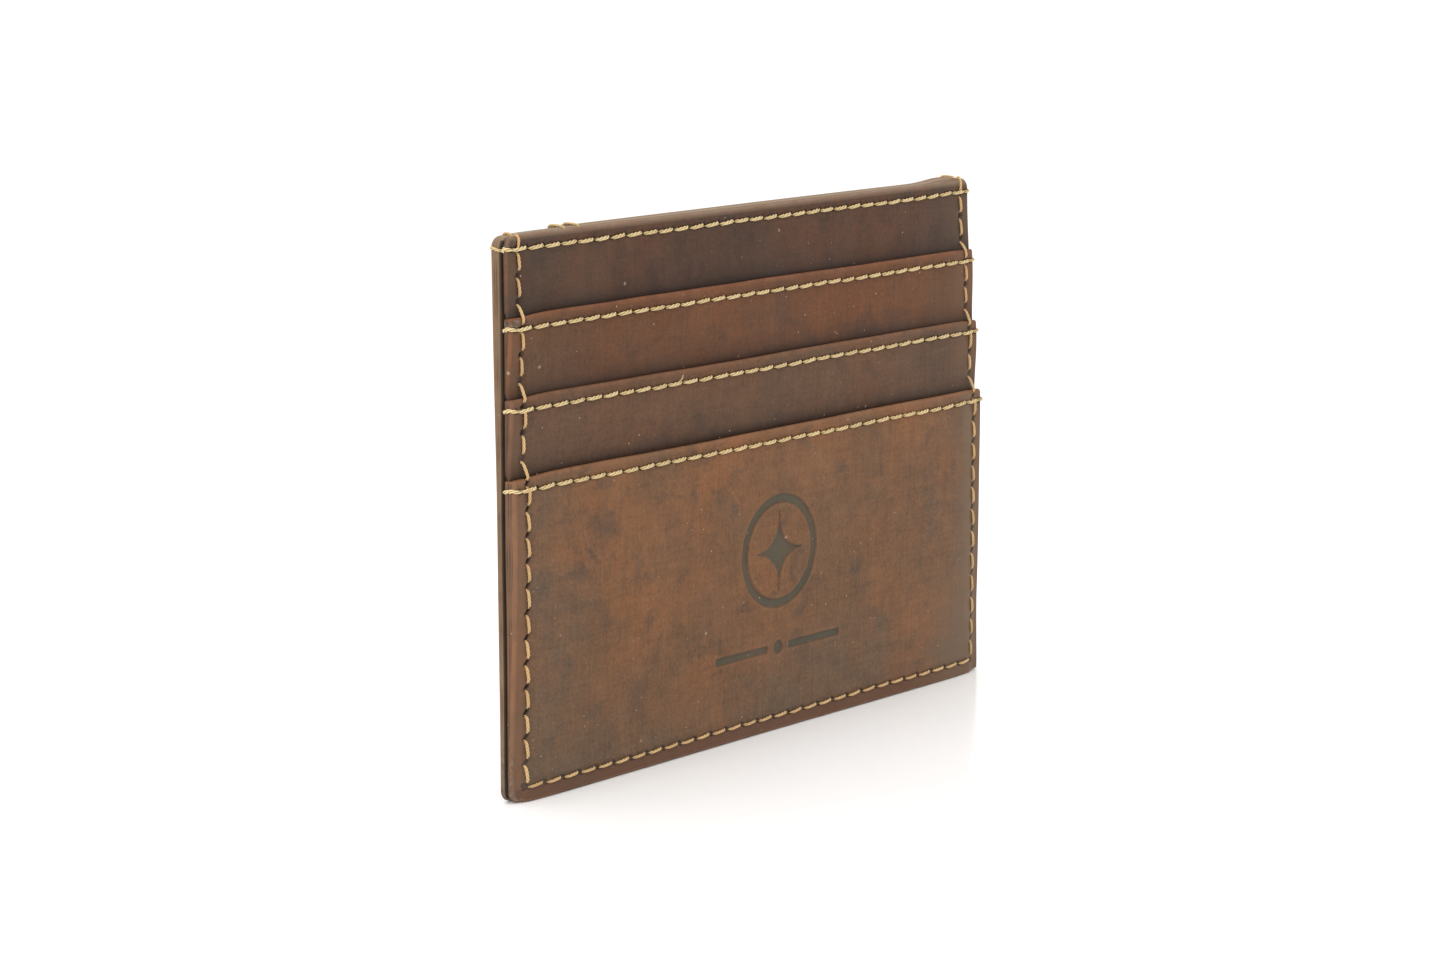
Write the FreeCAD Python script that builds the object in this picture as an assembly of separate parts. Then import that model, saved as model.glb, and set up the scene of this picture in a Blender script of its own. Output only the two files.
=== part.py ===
import FreeCAD, Part
import os
from collections import namedtuple

# A slim leather card holder: two sewn leaves that stand on their long bottom edge.
# Millimetres. X runs along the width, the card pockets face -Y and Z is up.
# The origin is the middle of the bottom edge, on the plane where the two leaves meet.

Vector = FreeCAD.Vector
Layer = namedtuple("Layer", "low high thickness")
Strip = namedtuple("Strip", "low bare high leather lip_leather")

# Driving dimensions
width = 102.0
height = 75.5
bottom_corner_radius = 1.5
leaf_gap = 0.4  # the flat, empty centre pocket between the leaves
turned_edge = 5.5  # how far leather is folded in behind an edge
clearance = 0.02  # between sheets that lie on each other
pocket_slack = 0.06  # between the walls of an empty card pocket

# Front leaf
strip_leather = 0.45
lower_leather = 0.65
lip_fold = 0.25  # thinned leather folded down behind a pocket lip
lip_fold_depth = 6.0
front_hem = 0.3  # thinned leather folded in behind the sides
edge_wall = 0.6
upper_lip = 65.3
middle_lip = 54.6
lower_lip = 44.1
hidden_strip = 7.2  # how far a strip runs on behind the next lip
lining_drop = 0.6  # a pocket lining starts this far below its lip
drape = 3.0  # height over which a sheet settles after the edge of one behind it

# Fabric and film
pocket_lining = 0.1
centre_lining = 0.1
shield_film = 0.06
base_lining = 0.08
lining_side_gap = 0.1
tongue_half_width = 46.0
tongue_shoulder = 12.0
upper_floor = 19.0
middle_floor = 10.5

# Back leaf
back_leather = 1.0
back_hem = 0.5
back_centre_lining = 0.12
interlining = 0.22
edge_rounding = 0.45
frame_leather = 0.6
frame_hem = 0.4
card_gap = 0.1
window_film = 0.25
window_low = Vector(-27.0, 0, 15.0)
window_high = Vector(43.0, 0, 61.0)
window_corner_radius = 4.0
window_overlap = 5.0
binding_left = -39.0
binding_width = 4.4
binding_leather = 0.4
binding_top = height + 0.4
binding_row_inset = 0.7
binding_space = 0.5  # other rows stop this far from the binding

# Thread
row_thread_radius = 0.27
seam_thread_radius = 0.2
floor_thread_radius = 0.08
row_pitch = 3.25
seam_pitch = 3.39
stitch_share = 0.8  # part of each pitch where the thread lies on the surface
side_inset = 2.2
bottom_inset = 2.1
row_inset = 1.8  # from a lip to its row of stitches
window_row_inset = 2.0
channel_width = 0.7

half = width / 2
cavity_half = half - edge_wall
core_half = half - turned_edge - lining_side_gap
core_low = turned_edge + lining_side_gap
core_high = height - turned_edge - lining_side_gap
front_inner = leaf_gap / 2
front_core = front_inner + front_hem
back_inner = leaf_gap / 2
back_core = back_inner + back_hem
back_face = back_core + back_leather
frame_back = back_face + frame_hem
frame_face = frame_back + frame_leather
binding_right = binding_left + binding_width
binding_face = frame_face + binding_leather / 2
binding_ply = binding_face - binding_leather
seam_x = half - side_inset
panel_thread_y = back_face + seam_thread_radius + clearance
frame_thread_y = frame_face - seam_thread_radius

# Leather strips from the leaf gap outwards: low end, lowest bare height, lip
top_band = Strip(upper_lip - hidden_strip, upper_lip, height, strip_leather, strip_leather)
upper_strip = Strip(
    middle_lip - hidden_strip, middle_lip, upper_lip, strip_leather, strip_leather + lip_fold
)
middle_strip = Strip(
    lower_lip - hidden_strip, lower_lip, middle_lip, strip_leather, strip_leather + lip_fold
)
lower_panel = Strip(0.0, 0.0, lower_lip, lower_leather, lower_leather + lip_fold)


def as_layer(strip):
    return Layer(strip.low, strip.high, strip.leather + clearance)


def lining_layer(low, lip):
    return Layer(low, lip - lining_drop, pocket_lining + pocket_slack)


def floor_seam_layer(floor):
    return Layer(floor + 0.5, floor + 1.5, 2 * floor_thread_radius + clearance)


# What lies behind each sheet of the front leaf, from the leaf gap outwards
behind_top_band = []
behind_upper_lining = [as_layer(top_band)]
behind_upper_strip = behind_upper_lining + [
    lining_layer(upper_floor, upper_lip), floor_seam_layer(upper_floor)
]
behind_middle_lining = behind_upper_strip + [as_layer(upper_strip)]
behind_middle_strip = behind_middle_lining + [
    lining_layer(middle_floor, middle_lip), floor_seam_layer(middle_floor)
]
behind_lower_lining = behind_middle_strip + [as_layer(middle_strip)]
behind_lower_panel = behind_lower_lining + [lining_layer(edge_wall, lower_lip)]


def box(x0, x1, y0, y1, z0, z1):
    return Part.makeBox(x1 - x0, y1 - y0, z1 - z0, Vector(x0, y0, z0))


def felt(layer, z):
    """Thickness that a sheet over this layer feels at height z: it drapes over both ends."""
    outside = max(layer.low - z, z - layer.high, 0.0)
    return layer.thickness * max(0.0, 1.0 - outside / drape)


def depth(behind, z):
    """Distance from the leaf plane to the back of a sheet that lies over the layers behind."""
    return front_core + clearance + sum(felt(layer, z) for layer in behind)


def heights(behind, low, high, extra=()):
    """Every height from low to high where a sheet over these layers bends."""
    bends = set(extra)
    for layer in behind:
        bends |= {layer.low - drape, layer.low, layer.high, layer.high + drape}
    return [low] + sorted(z for z in bends if low + 0.05 < z < high - 0.05) + [high]


def leather_at(strip, z):
    """Leather thickness of a strip at height z: doubled by the fold below the lip."""
    above_fold_end = z - (strip.high - lip_fold_depth)
    share = min(1.0, max(0.0, above_fold_end))
    return strip.leather + share * (strip.lip_leather - strip.leather)


def front_at(strip, behind, z):
    return depth(behind, z) + leather_at(strip, z)


def slab(points, x0, x1):
    """Closed outline of (depth, height) points, or (depth, height, arc middle), along X."""
    edges = []
    corners = [Vector(x0, -p[0], p[1]) for p in points]
    for i, point in enumerate(points):
        start, end = corners[i], corners[(i + 1) % len(points)]
        if len(point) == 3:
            middle = Vector(x0, -point[2][0], point[2][1])
            edges.append(Part.Arc(start, middle, end).toShape())
        else:
            edges.append(Part.LineSegment(start, end).toShape())
    return Part.Face(Part.Wire(edges)).extrude(Vector(x1 - x0, 0, 0))


def strip_outline(strip, behind, low, inner=None):
    """Outline of a strip from low to its round lip; inner fixes a flat inner face."""
    fold_end = strip.high - lip_fold_depth
    zs = heights(behind, low, strip.high, (fold_end, fold_end + 1.0))
    back_lip = depth(behind, strip.high) if inner is None else inner
    front_lip = front_at(strip, behind, strip.high)
    radius = (front_lip - back_lip) / 2
    shoulder = strip.high - radius
    front = [(front_at(strip, behind, z), z) for z in zs[:-1]]
    crown = (front_lip, shoulder, (back_lip + radius, strip.high))
    back = [(back_lip, shoulder)]
    if inner is None:
        back += [(depth(behind, z), z) for z in reversed(zs[:-1])]
    else:
        back += [(inner, low)]
    return front + [crown] + back


def both_sides(shape):
    mirrored = shape.mirror(Vector(0, 0, 0), Vector(1, 0, 0))
    return [shape, mirrored]


def joined(first, others):
    return first.multiFuse(others).removeSplitter()


def rounded_outline(low, high, radius, all_corners):
    """Rectangle across X and Z with round lower corners, or all corners round."""
    corners = [
        Vector(low.x, 0, low.z), Vector(high.x, 0, low.z),
        Vector(high.x, 0, high.z), Vector(low.x, 0, high.z),
    ]
    block = Part.Face(Part.makePolygon(corners + corners[:1])).extrude(Vector(0, 20, 0))
    block.translate(Vector(0, -10, 0))
    posts = [
        edge for edge in block.Edges
        if abs(edge.Vertexes[0].Z - edge.Vertexes[1].Z) < 0.01
        and abs(edge.Vertexes[0].X - edge.Vertexes[1].X) < 0.01
        and (all_corners or edge.Vertexes[0].Z < low.z + 0.01)
    ]
    return block.makeFillet(radius, posts)


def wallet_outline():
    low = Vector(-half, 0, 0)
    high = Vector(half, 0, height + 5)
    return rounded_outline(low, high, bottom_corner_radius, False)


def leather_strip(strip, behind):
    """A pocket strip: plate, side walls that wrap the leaf and thinned hems behind them."""
    plate = slab(strip_outline(strip, behind, strip.low), -cavity_half, cavity_half)
    low = strip.bare + clearance if strip.bare else 0.0
    wall = slab(strip_outline(strip, behind, low, front_inner), cavity_half, half)
    hem_top = strip.high - edge_wall
    hem = box(half - turned_edge, cavity_half, -front_core, -front_inner, low, hem_top)
    return joined(plate, both_sides(wall) + both_sides(hem))


def front_top_band():
    band = leather_strip(top_band, behind_top_band)
    outline = [
        (front_core + clearance, height - turned_edge),
        (front_inner, height - turned_edge),
        (front_inner, height - edge_wall),
        (front_core + clearance, height - edge_wall),
    ]
    top_hem = slab(outline, -cavity_half, cavity_half)
    return joined(band, [top_hem])


def lower_pocket_front():
    panel = leather_strip(lower_panel, behind_lower_panel)
    sole_depth = depth(behind_lower_panel, edge_wall)
    sole = box(-cavity_half, cavity_half, -sole_depth, -front_inner, 0, edge_wall)
    hem = box(-cavity_half, cavity_half, -front_core, -front_inner, edge_wall, turned_edge)
    return joined(panel, [sole, hem]).common(wallet_outline())


def sheet_outline(behind, thickness, low, high):
    zs = heights(behind, low, high)
    front = [(depth(behind, z) + thickness, z) for z in zs]
    back = [(depth(behind, z), z) for z in reversed(zs)]
    return front + back


def pocket_tongue(behind, low, lip):
    """T-shaped pocket lining: a bar as wide as the pocket and a narrower tongue below it."""
    top = lip - lining_drop
    bar_half = cavity_half - lining_side_gap
    shoulder = lip - tongue_shoulder
    bar = slab(sheet_outline(behind, pocket_lining, shoulder, top), -bar_half, bar_half)
    tongue = slab(
        sheet_outline(behind, pocket_lining, low, top), -tongue_half_width, tongue_half_width
    )
    return joined(bar, [tongue])


def lower_pocket_lining():
    side = cavity_half - lining_side_gap
    low = edge_wall + lining_side_gap
    outline = sheet_outline(behind_lower_lining, pocket_lining, low, lower_lip - lining_drop)
    return slab(outline, -side, side)


def core_sheet(y0, y1):
    return box(-core_half, core_half, y0, y1, core_low, core_high)


def front_core_sheets():
    """The three flat sheets between the hems of the front leaf, from the leaf gap outwards."""
    lining_out = front_inner + centre_lining
    shield_in = lining_out + clearance
    shield_out = shield_in + shield_film
    base_in = shield_out + clearance
    base_out = base_in + base_lining
    return {
        "front_lining": core_sheet(-lining_out, -front_inner),
        "rfid_shield_front": core_sheet(-shield_out, -shield_in),
        "front_base_lining": core_sheet(-base_out, -base_in),
    }


def back_core_sheets():
    """The three flat sheets between the hems of the back leaf, from the leaf gap outwards."""
    lining_out = back_inner + back_centre_lining
    shield_in = lining_out + clearance
    shield_out = shield_in + shield_film
    backing_in = shield_out + clearance
    return {
        "back_lining": core_sheet(back_inner, lining_out),
        "rfid_shield_back": core_sheet(shield_in, shield_out),
        "back_interlining": core_sheet(backing_in, backing_in + interlining),
    }


def back_panel():
    """Outer leather of the back leaf, turned in on all four edges."""
    block = box(-half, half, back_inner, back_face, 0, height)
    recess = box(
        -half + turned_edge, half - turned_edge, back_inner, back_core,
        turned_edge, height - turned_edge,
    )
    top_edges = [
        edge for edge in block.Edges
        if min(v.Z for v in edge.Vertexes) > height - 0.01
        and abs(edge.Vertexes[0].X - edge.Vertexes[1].X) > width / 2
    ]
    rounded = block.makeFillet(edge_rounding, top_edges)
    return rounded.cut(recess).common(wallet_outline())


def window_hole():
    return rounded_outline(window_low, window_high, window_corner_radius, True)


def window_row_corners():
    inset = Vector(window_row_inset, 0, window_row_inset)
    return window_low - inset, window_high + inset


def channel(x0, x1, z0, z1):
    """Pressed groove round a stitch line on the frame, so that the thread lies flush."""
    deep = 2 * seam_thread_radius + clearance
    return box(x0, x1, frame_face - deep, frame_face + 1, z0, z1)


def frame_channels():
    side = channel_width / 2
    row = height - row_inset
    low, high = window_row_corners()
    return [
        channel(seam_x - side, seam_x + side, bottom_inset - side, height + 1),
        channel(binding_right, seam_x + side, bottom_inset - side, bottom_inset + side),
        channel(binding_right, half + 1, row - side, row + side),
        channel(low.x - side, high.x + side, low.z - side, low.z + side),
        channel(low.x - side, high.x + side, high.z - side, high.z + side),
        channel(low.x - side, low.x + side, low.z - side, high.z + side),
        channel(high.x - side, high.x + side, low.z - side, high.z + side),
    ]


def id_window_frame():
    """Leather panel over the right of the back leaf, with a window and a free left edge."""
    free_edge = binding_left + binding_leather + clearance
    hem_left = binding_right + clearance
    plate = box(hem_left, half, frame_back, frame_face, 0, height)
    tongue = box(free_edge, hem_left, frame_back, binding_ply - clearance, 0, height)
    right_hem = box(half - turned_edge, half, back_face, frame_back, 0, height)
    top_hem = box(hem_left, half, back_face, frame_back, height - turned_edge, height)
    low_hem = box(hem_left, half, back_face, frame_back, 0, turned_edge)
    frame = joined(plate, [tongue, right_hem, top_hem, low_hem])
    frame = frame.cut([window_hole()] + frame_channels())
    return frame.common(wallet_outline())


def id_window_sheet():
    high_x = min(window_high.x + window_overlap, half - turned_edge - lining_side_gap)
    film_out = frame_back - clearance
    return box(
        window_low.x - window_overlap, high_x, film_out - window_film, film_out,
        window_low.z - window_overlap, window_high.z + window_overlap,
    )


def id_entry_binding():
    """Narrow strip folded round the free edge of the frame, up past the lip."""
    inner = back_face + card_gap
    fold = box(binding_left, binding_left + binding_leather, inner, binding_face, 0, binding_top)
    outer_ply = box(binding_left, binding_right, binding_ply, binding_face, 0, binding_top)
    inner_ply = box(binding_left, binding_right, inner, frame_back - clearance, 0, binding_top)
    return joined(fold, [outer_ply, inner_ply])


def stitch(start, end, radius):
    run = end - start
    return Part.makeCylinder(radius, run.Length, start, run)


def stitches(start, end, pitch, radius):
    """A straight line of thread bars from start to end, evenly spaced."""
    run = end - start
    count = round(run.Length / pitch)
    step = run / count
    first = (1 - stitch_share) / 2
    return [
        stitch(start + step * (i + first), start + step * (i + first + stitch_share), radius)
        for i in range(count)
    ]


def row_stitches(ends, y, z, radius):
    """A row along X that leaves a gap at each of its inner ends, where another seam crosses."""
    bars = []
    for left, right in zip(ends, ends[1:]):
        bars += stitches(Vector(left, y, z), Vector(right, y, z), row_pitch, radius)
    return bars


def pocket_row(strip, behind):
    """The row under a lip, with its ends wrapped round both side edges of the leaf."""
    z = strip.high - row_inset
    face = -(front_at(strip, behind, z) + row_thread_radius + clearance)
    row = row_stitches((-half, -seam_x, seam_x, half), face, z, row_thread_radius)
    side_x = half + row_thread_radius + clearance
    wrap = stitch(Vector(side_x, -front_inner, z), Vector(side_x, face, z), row_thread_radius)
    return Part.makeCompound(row + both_sides(wrap))


def floor_row(floor, behind):
    """Hidden seam that closes the bottom of a T pocket."""
    z = floor + 1.0
    y = -(depth(behind, z) + pocket_lining + floor_thread_radius + clearance)
    end = tongue_half_width - 1.0
    return Part.makeCompound(
        stitches(Vector(-end, y, z), Vector(end, y, z), row_pitch, floor_thread_radius)
    )


def bare_front(z):
    """Depth of the leather that shows on the front at height z."""
    shown = [
        (top_band, behind_top_band), (upper_strip, behind_upper_strip),
        (middle_strip, behind_middle_strip), (lower_panel, behind_lower_panel),
    ]
    for strip, behind in shown:
        if z > strip.bare:
            return front_at(strip, behind, z)
    return front_at(lower_panel, behind_lower_panel, 0.0)


def front_side_seam():
    """Stitches up one side of the front, each laid on the highest leather under it."""
    top = height - edge_wall
    count = round((top - bottom_inset) / seam_pitch)
    step = (top - bottom_inset) / count
    bars = []
    for i in range(count):
        low = bottom_inset + step * (i + (1 - stitch_share) / 2)
        high = low + step * stitch_share
        samples = [bare_front(low + (high - low) * k / 8) for k in range(9)]
        y = -(max(samples) + seam_thread_radius + clearance)
        bars.append(stitch(Vector(seam_x, y, low), Vector(seam_x, y, high), seam_thread_radius))
    return bars


def perimeter_seam():
    """The seam that joins the leaves: both faces, and a wrap over each top corner."""
    radius = seam_thread_radius
    low = bottom_inset
    bars = []
    for bar in front_side_seam():
        bars += both_sides(bar)
    front_y = -(bare_front(low) + radius + clearance)
    front_left = Vector(-seam_x, front_y, low)
    bars += stitches(front_left, Vector(seam_x, front_y, low), seam_pitch, radius)

    panel_left = Vector(-seam_x, panel_thread_y, low)
    panel_end = Vector(binding_left - binding_space, panel_thread_y, low)
    bars += stitches(panel_left, Vector(-seam_x, panel_thread_y, height), seam_pitch, radius)
    bars += stitches(panel_left, panel_end, seam_pitch, radius)
    frame_start = Vector(binding_right + binding_space, frame_thread_y, low)
    frame_right = Vector(seam_x, frame_thread_y, low)
    bars += stitches(frame_start, frame_right, seam_pitch, radius)
    bars += stitches(frame_right, Vector(seam_x, frame_thread_y, height), seam_pitch, radius)

    over = height + radius + clearance
    front_end = -front_at(top_band, behind_top_band, height)
    for x, back_end in ((-seam_x, back_face), (seam_x, frame_face)):
        bars.append(stitch(Vector(x, front_end, over), Vector(x, back_end, over), radius))
    return Part.makeCompound(bars)


def back_top_row():
    """Row under the back lip, wrapped round the left edge of the back leaf."""
    z = height - row_inset
    radius = seam_thread_radius
    panel_ends = (-half, -seam_x, binding_left - binding_space)
    frame_ends = (binding_right + binding_space, seam_x, half)
    bars = row_stitches(panel_ends, panel_thread_y, z, radius)
    bars += row_stitches(frame_ends, frame_thread_y, z, radius)
    side_x = half + radius + clearance
    for x, outer_y in ((-side_x, panel_thread_y), (side_x, frame_thread_y)):
        bars.append(stitch(Vector(x, back_inner, z), Vector(x, outer_y, z), radius))
    return Part.makeCompound(bars)


def window_row():
    y = frame_thread_y
    low, high = window_row_corners()
    corners = [
        Vector(low.x, y, low.z), Vector(high.x, y, low.z),
        Vector(high.x, y, high.z), Vector(low.x, y, high.z),
    ]
    bars = []
    for i, corner in enumerate(corners):
        bars += stitches(corner, corners[(i + 1) % 4], row_pitch, seam_thread_radius)
    return Part.makeCompound(bars)


def binding_rows():
    """A row up each side of the binding; both threads loop over the back lip."""
    radius = seam_thread_radius
    y = binding_face + radius + clearance
    over = binding_top + radius + clearance
    bars = []
    for x in (binding_left + binding_row_inset, binding_right - binding_row_inset):
        bars += stitches(Vector(x, y, 0), Vector(x, y, binding_top), row_pitch, radius)
        bars.append(stitch(Vector(x, back_inner, over), Vector(x, y, over), radius))
    return Part.makeCompound(bars)


def all_parts():
    parts = {
        "front_top_band": front_top_band(),
        "upper_pocket_front": leather_strip(upper_strip, behind_upper_strip),
        "middle_pocket_front": leather_strip(middle_strip, behind_middle_strip),
        "lower_pocket_front": lower_pocket_front(),
        "upper_pocket_lining": pocket_tongue(behind_upper_lining, upper_floor, upper_lip),
        "middle_pocket_lining": pocket_tongue(behind_middle_lining, middle_floor, middle_lip),
        "lower_pocket_lining": lower_pocket_lining(),
        "back_panel": back_panel(),
        "id_window_sheet": id_window_sheet(),
        "id_window_frame": id_window_frame(),
        "id_entry_binding": id_entry_binding(),
        "top_band_stitch": pocket_row(top_band, behind_top_band),
        "upper_pocket_stitch": pocket_row(upper_strip, behind_upper_strip),
        "middle_pocket_stitch": pocket_row(middle_strip, behind_middle_strip),
        "lower_pocket_stitch": pocket_row(lower_panel, behind_lower_panel),
        "upper_pocket_floor_stitch": floor_row(upper_floor, behind_upper_lining),
        "middle_pocket_floor_stitch": floor_row(middle_floor, behind_middle_lining),
        "back_top_stitch": back_top_row(),
        "id_window_stitch": window_row(),
        "id_binding_stitch": binding_rows(),
        "perimeter_stitch": perimeter_seam(),
    }
    parts.update(front_core_sheets())
    parts.update(back_core_sheets())
    return parts


os.makedirs("parts", exist_ok=True)
for name, shape in all_parts().items():
    shape.exportStep(f"parts/{name}.step")
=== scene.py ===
import math

import bmesh
import bpy
import numpy as np
from mathutils import Matrix, Vector


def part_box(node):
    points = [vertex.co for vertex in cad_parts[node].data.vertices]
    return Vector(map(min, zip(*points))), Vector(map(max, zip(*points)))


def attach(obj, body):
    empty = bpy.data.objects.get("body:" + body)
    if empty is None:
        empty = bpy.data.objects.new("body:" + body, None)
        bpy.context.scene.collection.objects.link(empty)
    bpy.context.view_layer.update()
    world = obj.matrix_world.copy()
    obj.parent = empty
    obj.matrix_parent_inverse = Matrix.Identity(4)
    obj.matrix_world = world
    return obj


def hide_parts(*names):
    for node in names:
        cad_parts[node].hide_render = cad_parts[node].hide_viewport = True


# A slim leather card holder standing on its long bottom edge, drawn round its CAD frame.
# Lengths are millimetres in the frame of the CAD model until a mesh is made, in metres.

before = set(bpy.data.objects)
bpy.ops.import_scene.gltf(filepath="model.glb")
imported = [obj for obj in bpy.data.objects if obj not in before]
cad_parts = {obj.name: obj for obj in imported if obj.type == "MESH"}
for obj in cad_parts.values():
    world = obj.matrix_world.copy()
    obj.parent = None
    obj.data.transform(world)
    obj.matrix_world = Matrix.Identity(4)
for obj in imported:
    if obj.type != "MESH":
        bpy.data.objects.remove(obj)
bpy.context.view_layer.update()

MM = 0.001
BODY = "root"


def node_box(node):
    low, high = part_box(node)
    return np.array(low) / MM, np.array(high) / MM


def smooth(t):
    t = np.clip(t, 0.0, 1.0)
    return t * t * (3.0 - 2.0 * t)


def bell(distance, width):
    return np.exp(-((distance / width) ** 2))


def wander(u, seed, wavelength):
    """Smooth noise along one line, about -1 to 1."""
    rng = np.random.default_rng(seed)
    total = 0.0
    for share, part in ((0.6, 1.0), (0.3, 0.43), (0.15, 0.19)):
        total = total + share * np.sin(2 * math.pi * u / (wavelength * part) + rng.uniform(0, 7))
    return total


def rumple(x, z, seed, wavelength):
    """Smooth noise over a face, about -1 to 1: plane waves in seeded directions."""
    rng = np.random.default_rng(seed)
    total = 0.0
    for _ in range(7):
        turn, phase = rng.uniform(0, math.pi), rng.uniform(0, 7)
        wave = 2 * math.pi / (wavelength * rng.uniform(0.6, 1.7))
        total = total + np.sin(wave * (x * math.cos(turn) + z * math.sin(turn)) + phase)
    return total / 3.2


# Sizes from the frame

panel_low, panel_high = node_box("back_panel")
half = panel_high[0]
height = panel_high[2]
leaf_inner = panel_low[1]
back_face = panel_high[1]
band_low = node_box("front_top_band")[0]
upper_low, upper_high = node_box("upper_pocket_front")
middle_low, middle_high = node_box("middle_pocket_front")
lower_high = node_box("lower_pocket_front")[1]
film_low, film_high = node_box("id_window_sheet")
binding_low, binding_high = node_box("id_entry_binding")
seam_low, seam_high = node_box("perimeter_stitch")
window_row_low, window_row_high = node_box("id_window_stitch")

seam_radius = 0.2
row_radius = 0.255
seam_x = seam_high[0] - seam_radius
seam_bottom = seam_low[2] + seam_radius
row_inset = 1.8
seam_pitch = 3.39
row_pitch = 3.25
row_end = half - 0.9

# Turned edges
corner = 1.5
front_round = 0.42
back_round = 0.28
edge_leather = 0.55
front_hem = 0.3
back_hem = 0.5
hem_reach = 5.4
lip_fold = 6.0


# How the two leaves bend

def across(x):
    """0 at the left edge, 1 at the right."""
    return np.clip((x + half) / (2 * half), 0.0, 1.0)


def lean(z):
    """The right side stands forward at the bottom and leans back at the top."""
    foot = 0.95 * smooth((36.0 - z) / 30.0)
    return -0.55 - 0.2 * smooth(z / 40.0) + 1.85 * smooth((z - 39.0) / 37.0) - foot


def front_bend(x, z):
    return across(x) ** 1.3 * lean(z) + 0.05 * rumple(x, z, 3, 45.0)


def back_bend(x, z):
    mouth = np.clip(1.0 - (x / seam_x) ** 2, 0.0, 1.0) ** 0.8 * smooth((z - 42.0) / 34.0)
    return front_bend(x, z) + 0.8 * mouth


def top_rise(x, z):
    """The top edge lumps up at its right corner and dips at its left."""
    rise = 0.5 * bell(x - half + 3.6, 4.0) - 0.2 * bell(x + half, 3.0)
    return rise * smooth((z - (height - 6.0)) / 5.0)


def bend_of(side):
    return front_bend if side < 0 else back_bend


def settled(points):
    """Low at the sides the leaves' gap lies further back, and the right corner flares out."""
    x, z = points[:, 0], points[:, 2]
    y = points[:, 1] - front_bend(x, z)
    near = smooth((np.abs(x) - (half - 2.6)) / 1.6)
    low = smooth((66.0 - z) / 34.0) * (0.72 + 0.34 * smooth((30.0 - z) / 30.0))
    reach = np.where(y < 0, 2.4, 1.7)
    moved = points.copy()
    moved[:, 0] += 0.6 * smooth((x - (half - 2.4)) / 2.4) * smooth((13.0 - z) / 13.0)
    moved[:, 1] += 0.85 * near * low * np.clip(1.0 - np.abs(y) / reach, 0.0, 1.0)
    return moved


# The leather strips of the front leaf

class Strip:
    """One leather layer of the front: heights, depths from the leaf plane and its lip line."""

    def __init__(self, name, low, bare, lip, foot_depth, lip_depth, thickness, lip_thickness,
                 gape, press, seed):
        self.name, self.low, self.bare, self.lip = name, low, bare, lip
        self.foot_depth, self.lip_depth = foot_depth, lip_depth
        self.thickness, self.lip_thickness = thickness, lip_thickness
        self.gape, self.press, self.seed = gape, press, seed

    def lip_z(self, x):
        """Height of the lip: it dips at the left and wanders a little."""
        dip = -0.5 * bell(x + half, 4.5) - 0.15 * bell(x - half, 3.0)
        if self.name == "band":
            dip = top_rise(x, np.full_like(x, height))
        return self.lip + dip + 0.08 * wander(x, self.seed, 70.0)

    def row_z(self, x):
        """Height of the row of stitches under the lip."""
        settle = 0.35 * (self.lip_z(x) - self.lip)
        return self.lip - row_inset + settle + 0.05 * wander(x, self.seed + 50, 23.0)

    def opened(self, x, z):
        """How far the strip stands off the one behind it: most at mid lip."""
        middle = np.clip(1.0 - (x / seam_x) ** 2, 0.0, 1.0) ** 1.2
        uneven = 1.0 + 0.25 * wander(x, self.seed + 9, 60.0)
        return self.gape * middle * uneven * smooth((z - (self.lip - 15.0)) / 14.0)

    def depth(self, x, z):
        """Distance of the smooth front face from the leaf plane."""
        rise = smooth((z - self.bare) / (0.85 * (self.lip - self.bare)))
        pressed = self.press * bell(half - np.abs(x), 4.5)
        base = self.foot_depth + (self.lip_depth - self.foot_depth) * rise
        behind = sum(s.opened(x, z) for s in strips_behind(self))
        return base - pressed + behind + self.opened(x, z)

    def leather(self, z):
        fold = smooth(z - (self.lip - lip_fold))
        return self.thickness + (self.lip_thickness - self.thickness) * fold


tuck = 0.9
band = Strip("band", band_low[2], upper_high[2] - tuck, height, 0.95, 0.95, 0.45, 0.45,
             0.0, 0.02, 11)
upper = Strip("upper", upper_low[2], middle_high[2] - tuck, upper_high[2], 1.2, 1.8, 0.45, 0.7,
              0.22, 0.28, 12)
middle = Strip("middle", middle_low[2], lower_high[2] - tuck, middle_high[2], 1.3, 1.9, 0.45, 0.7,
               0.25, 0.32, 13)
lower = Strip("lower", 0.0, 0.0, lower_high[2], 1.25, 2.28, 0.65, 0.9, 0.35, 0.38, 14)
strips = [band, upper, middle, lower]


def strips_behind(strip):
    return strips[:[s.name for s in strips].index(strip.name)]


def front_depth(x, z):
    """Depth of whichever strip shows at this place on the front."""
    shown = band.depth(x, z)
    for strip in strips[1:]:
        shown = np.where(z <= strip.lip_z(x), strip.depth(x, z), shown)
    return shown


def back_depth(x, z):
    """Outer face of the back panel: its turned left edge is a little plump."""
    plump = 0.3 * bell(x + half, 3.0) * (0.35 + 0.65 * np.abs(z - 0.55 * height) / (0.5 * height))
    pressed = 0.1 * bell(np.abs(x) - seam_x, 1.0)
    return back_face + plump - pressed + 0.03 * rumple(x, z, 21, 30.0)


frame_face = 2.7


def frame_depth(x, z):
    return frame_face + 0.04 * rumple(x, z, 22, 34.0)


# Seams: each is a list of needle holes (x, z), and stitches run from hole to hole

slit_slant = -38.0


def spaced(start, end, pitch):
    return np.linspace(start, end, max(1, round(abs(end - start) / pitch)) + 1)


def uneven(values, seed, amount=0.07):
    """Needle holes are never quite even; the two end ones stay."""
    rng = np.random.default_rng(seed)
    shift = rng.uniform(-amount, amount, len(values))
    shift[0] = shift[-1] = 0.0
    return values + shift


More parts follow.
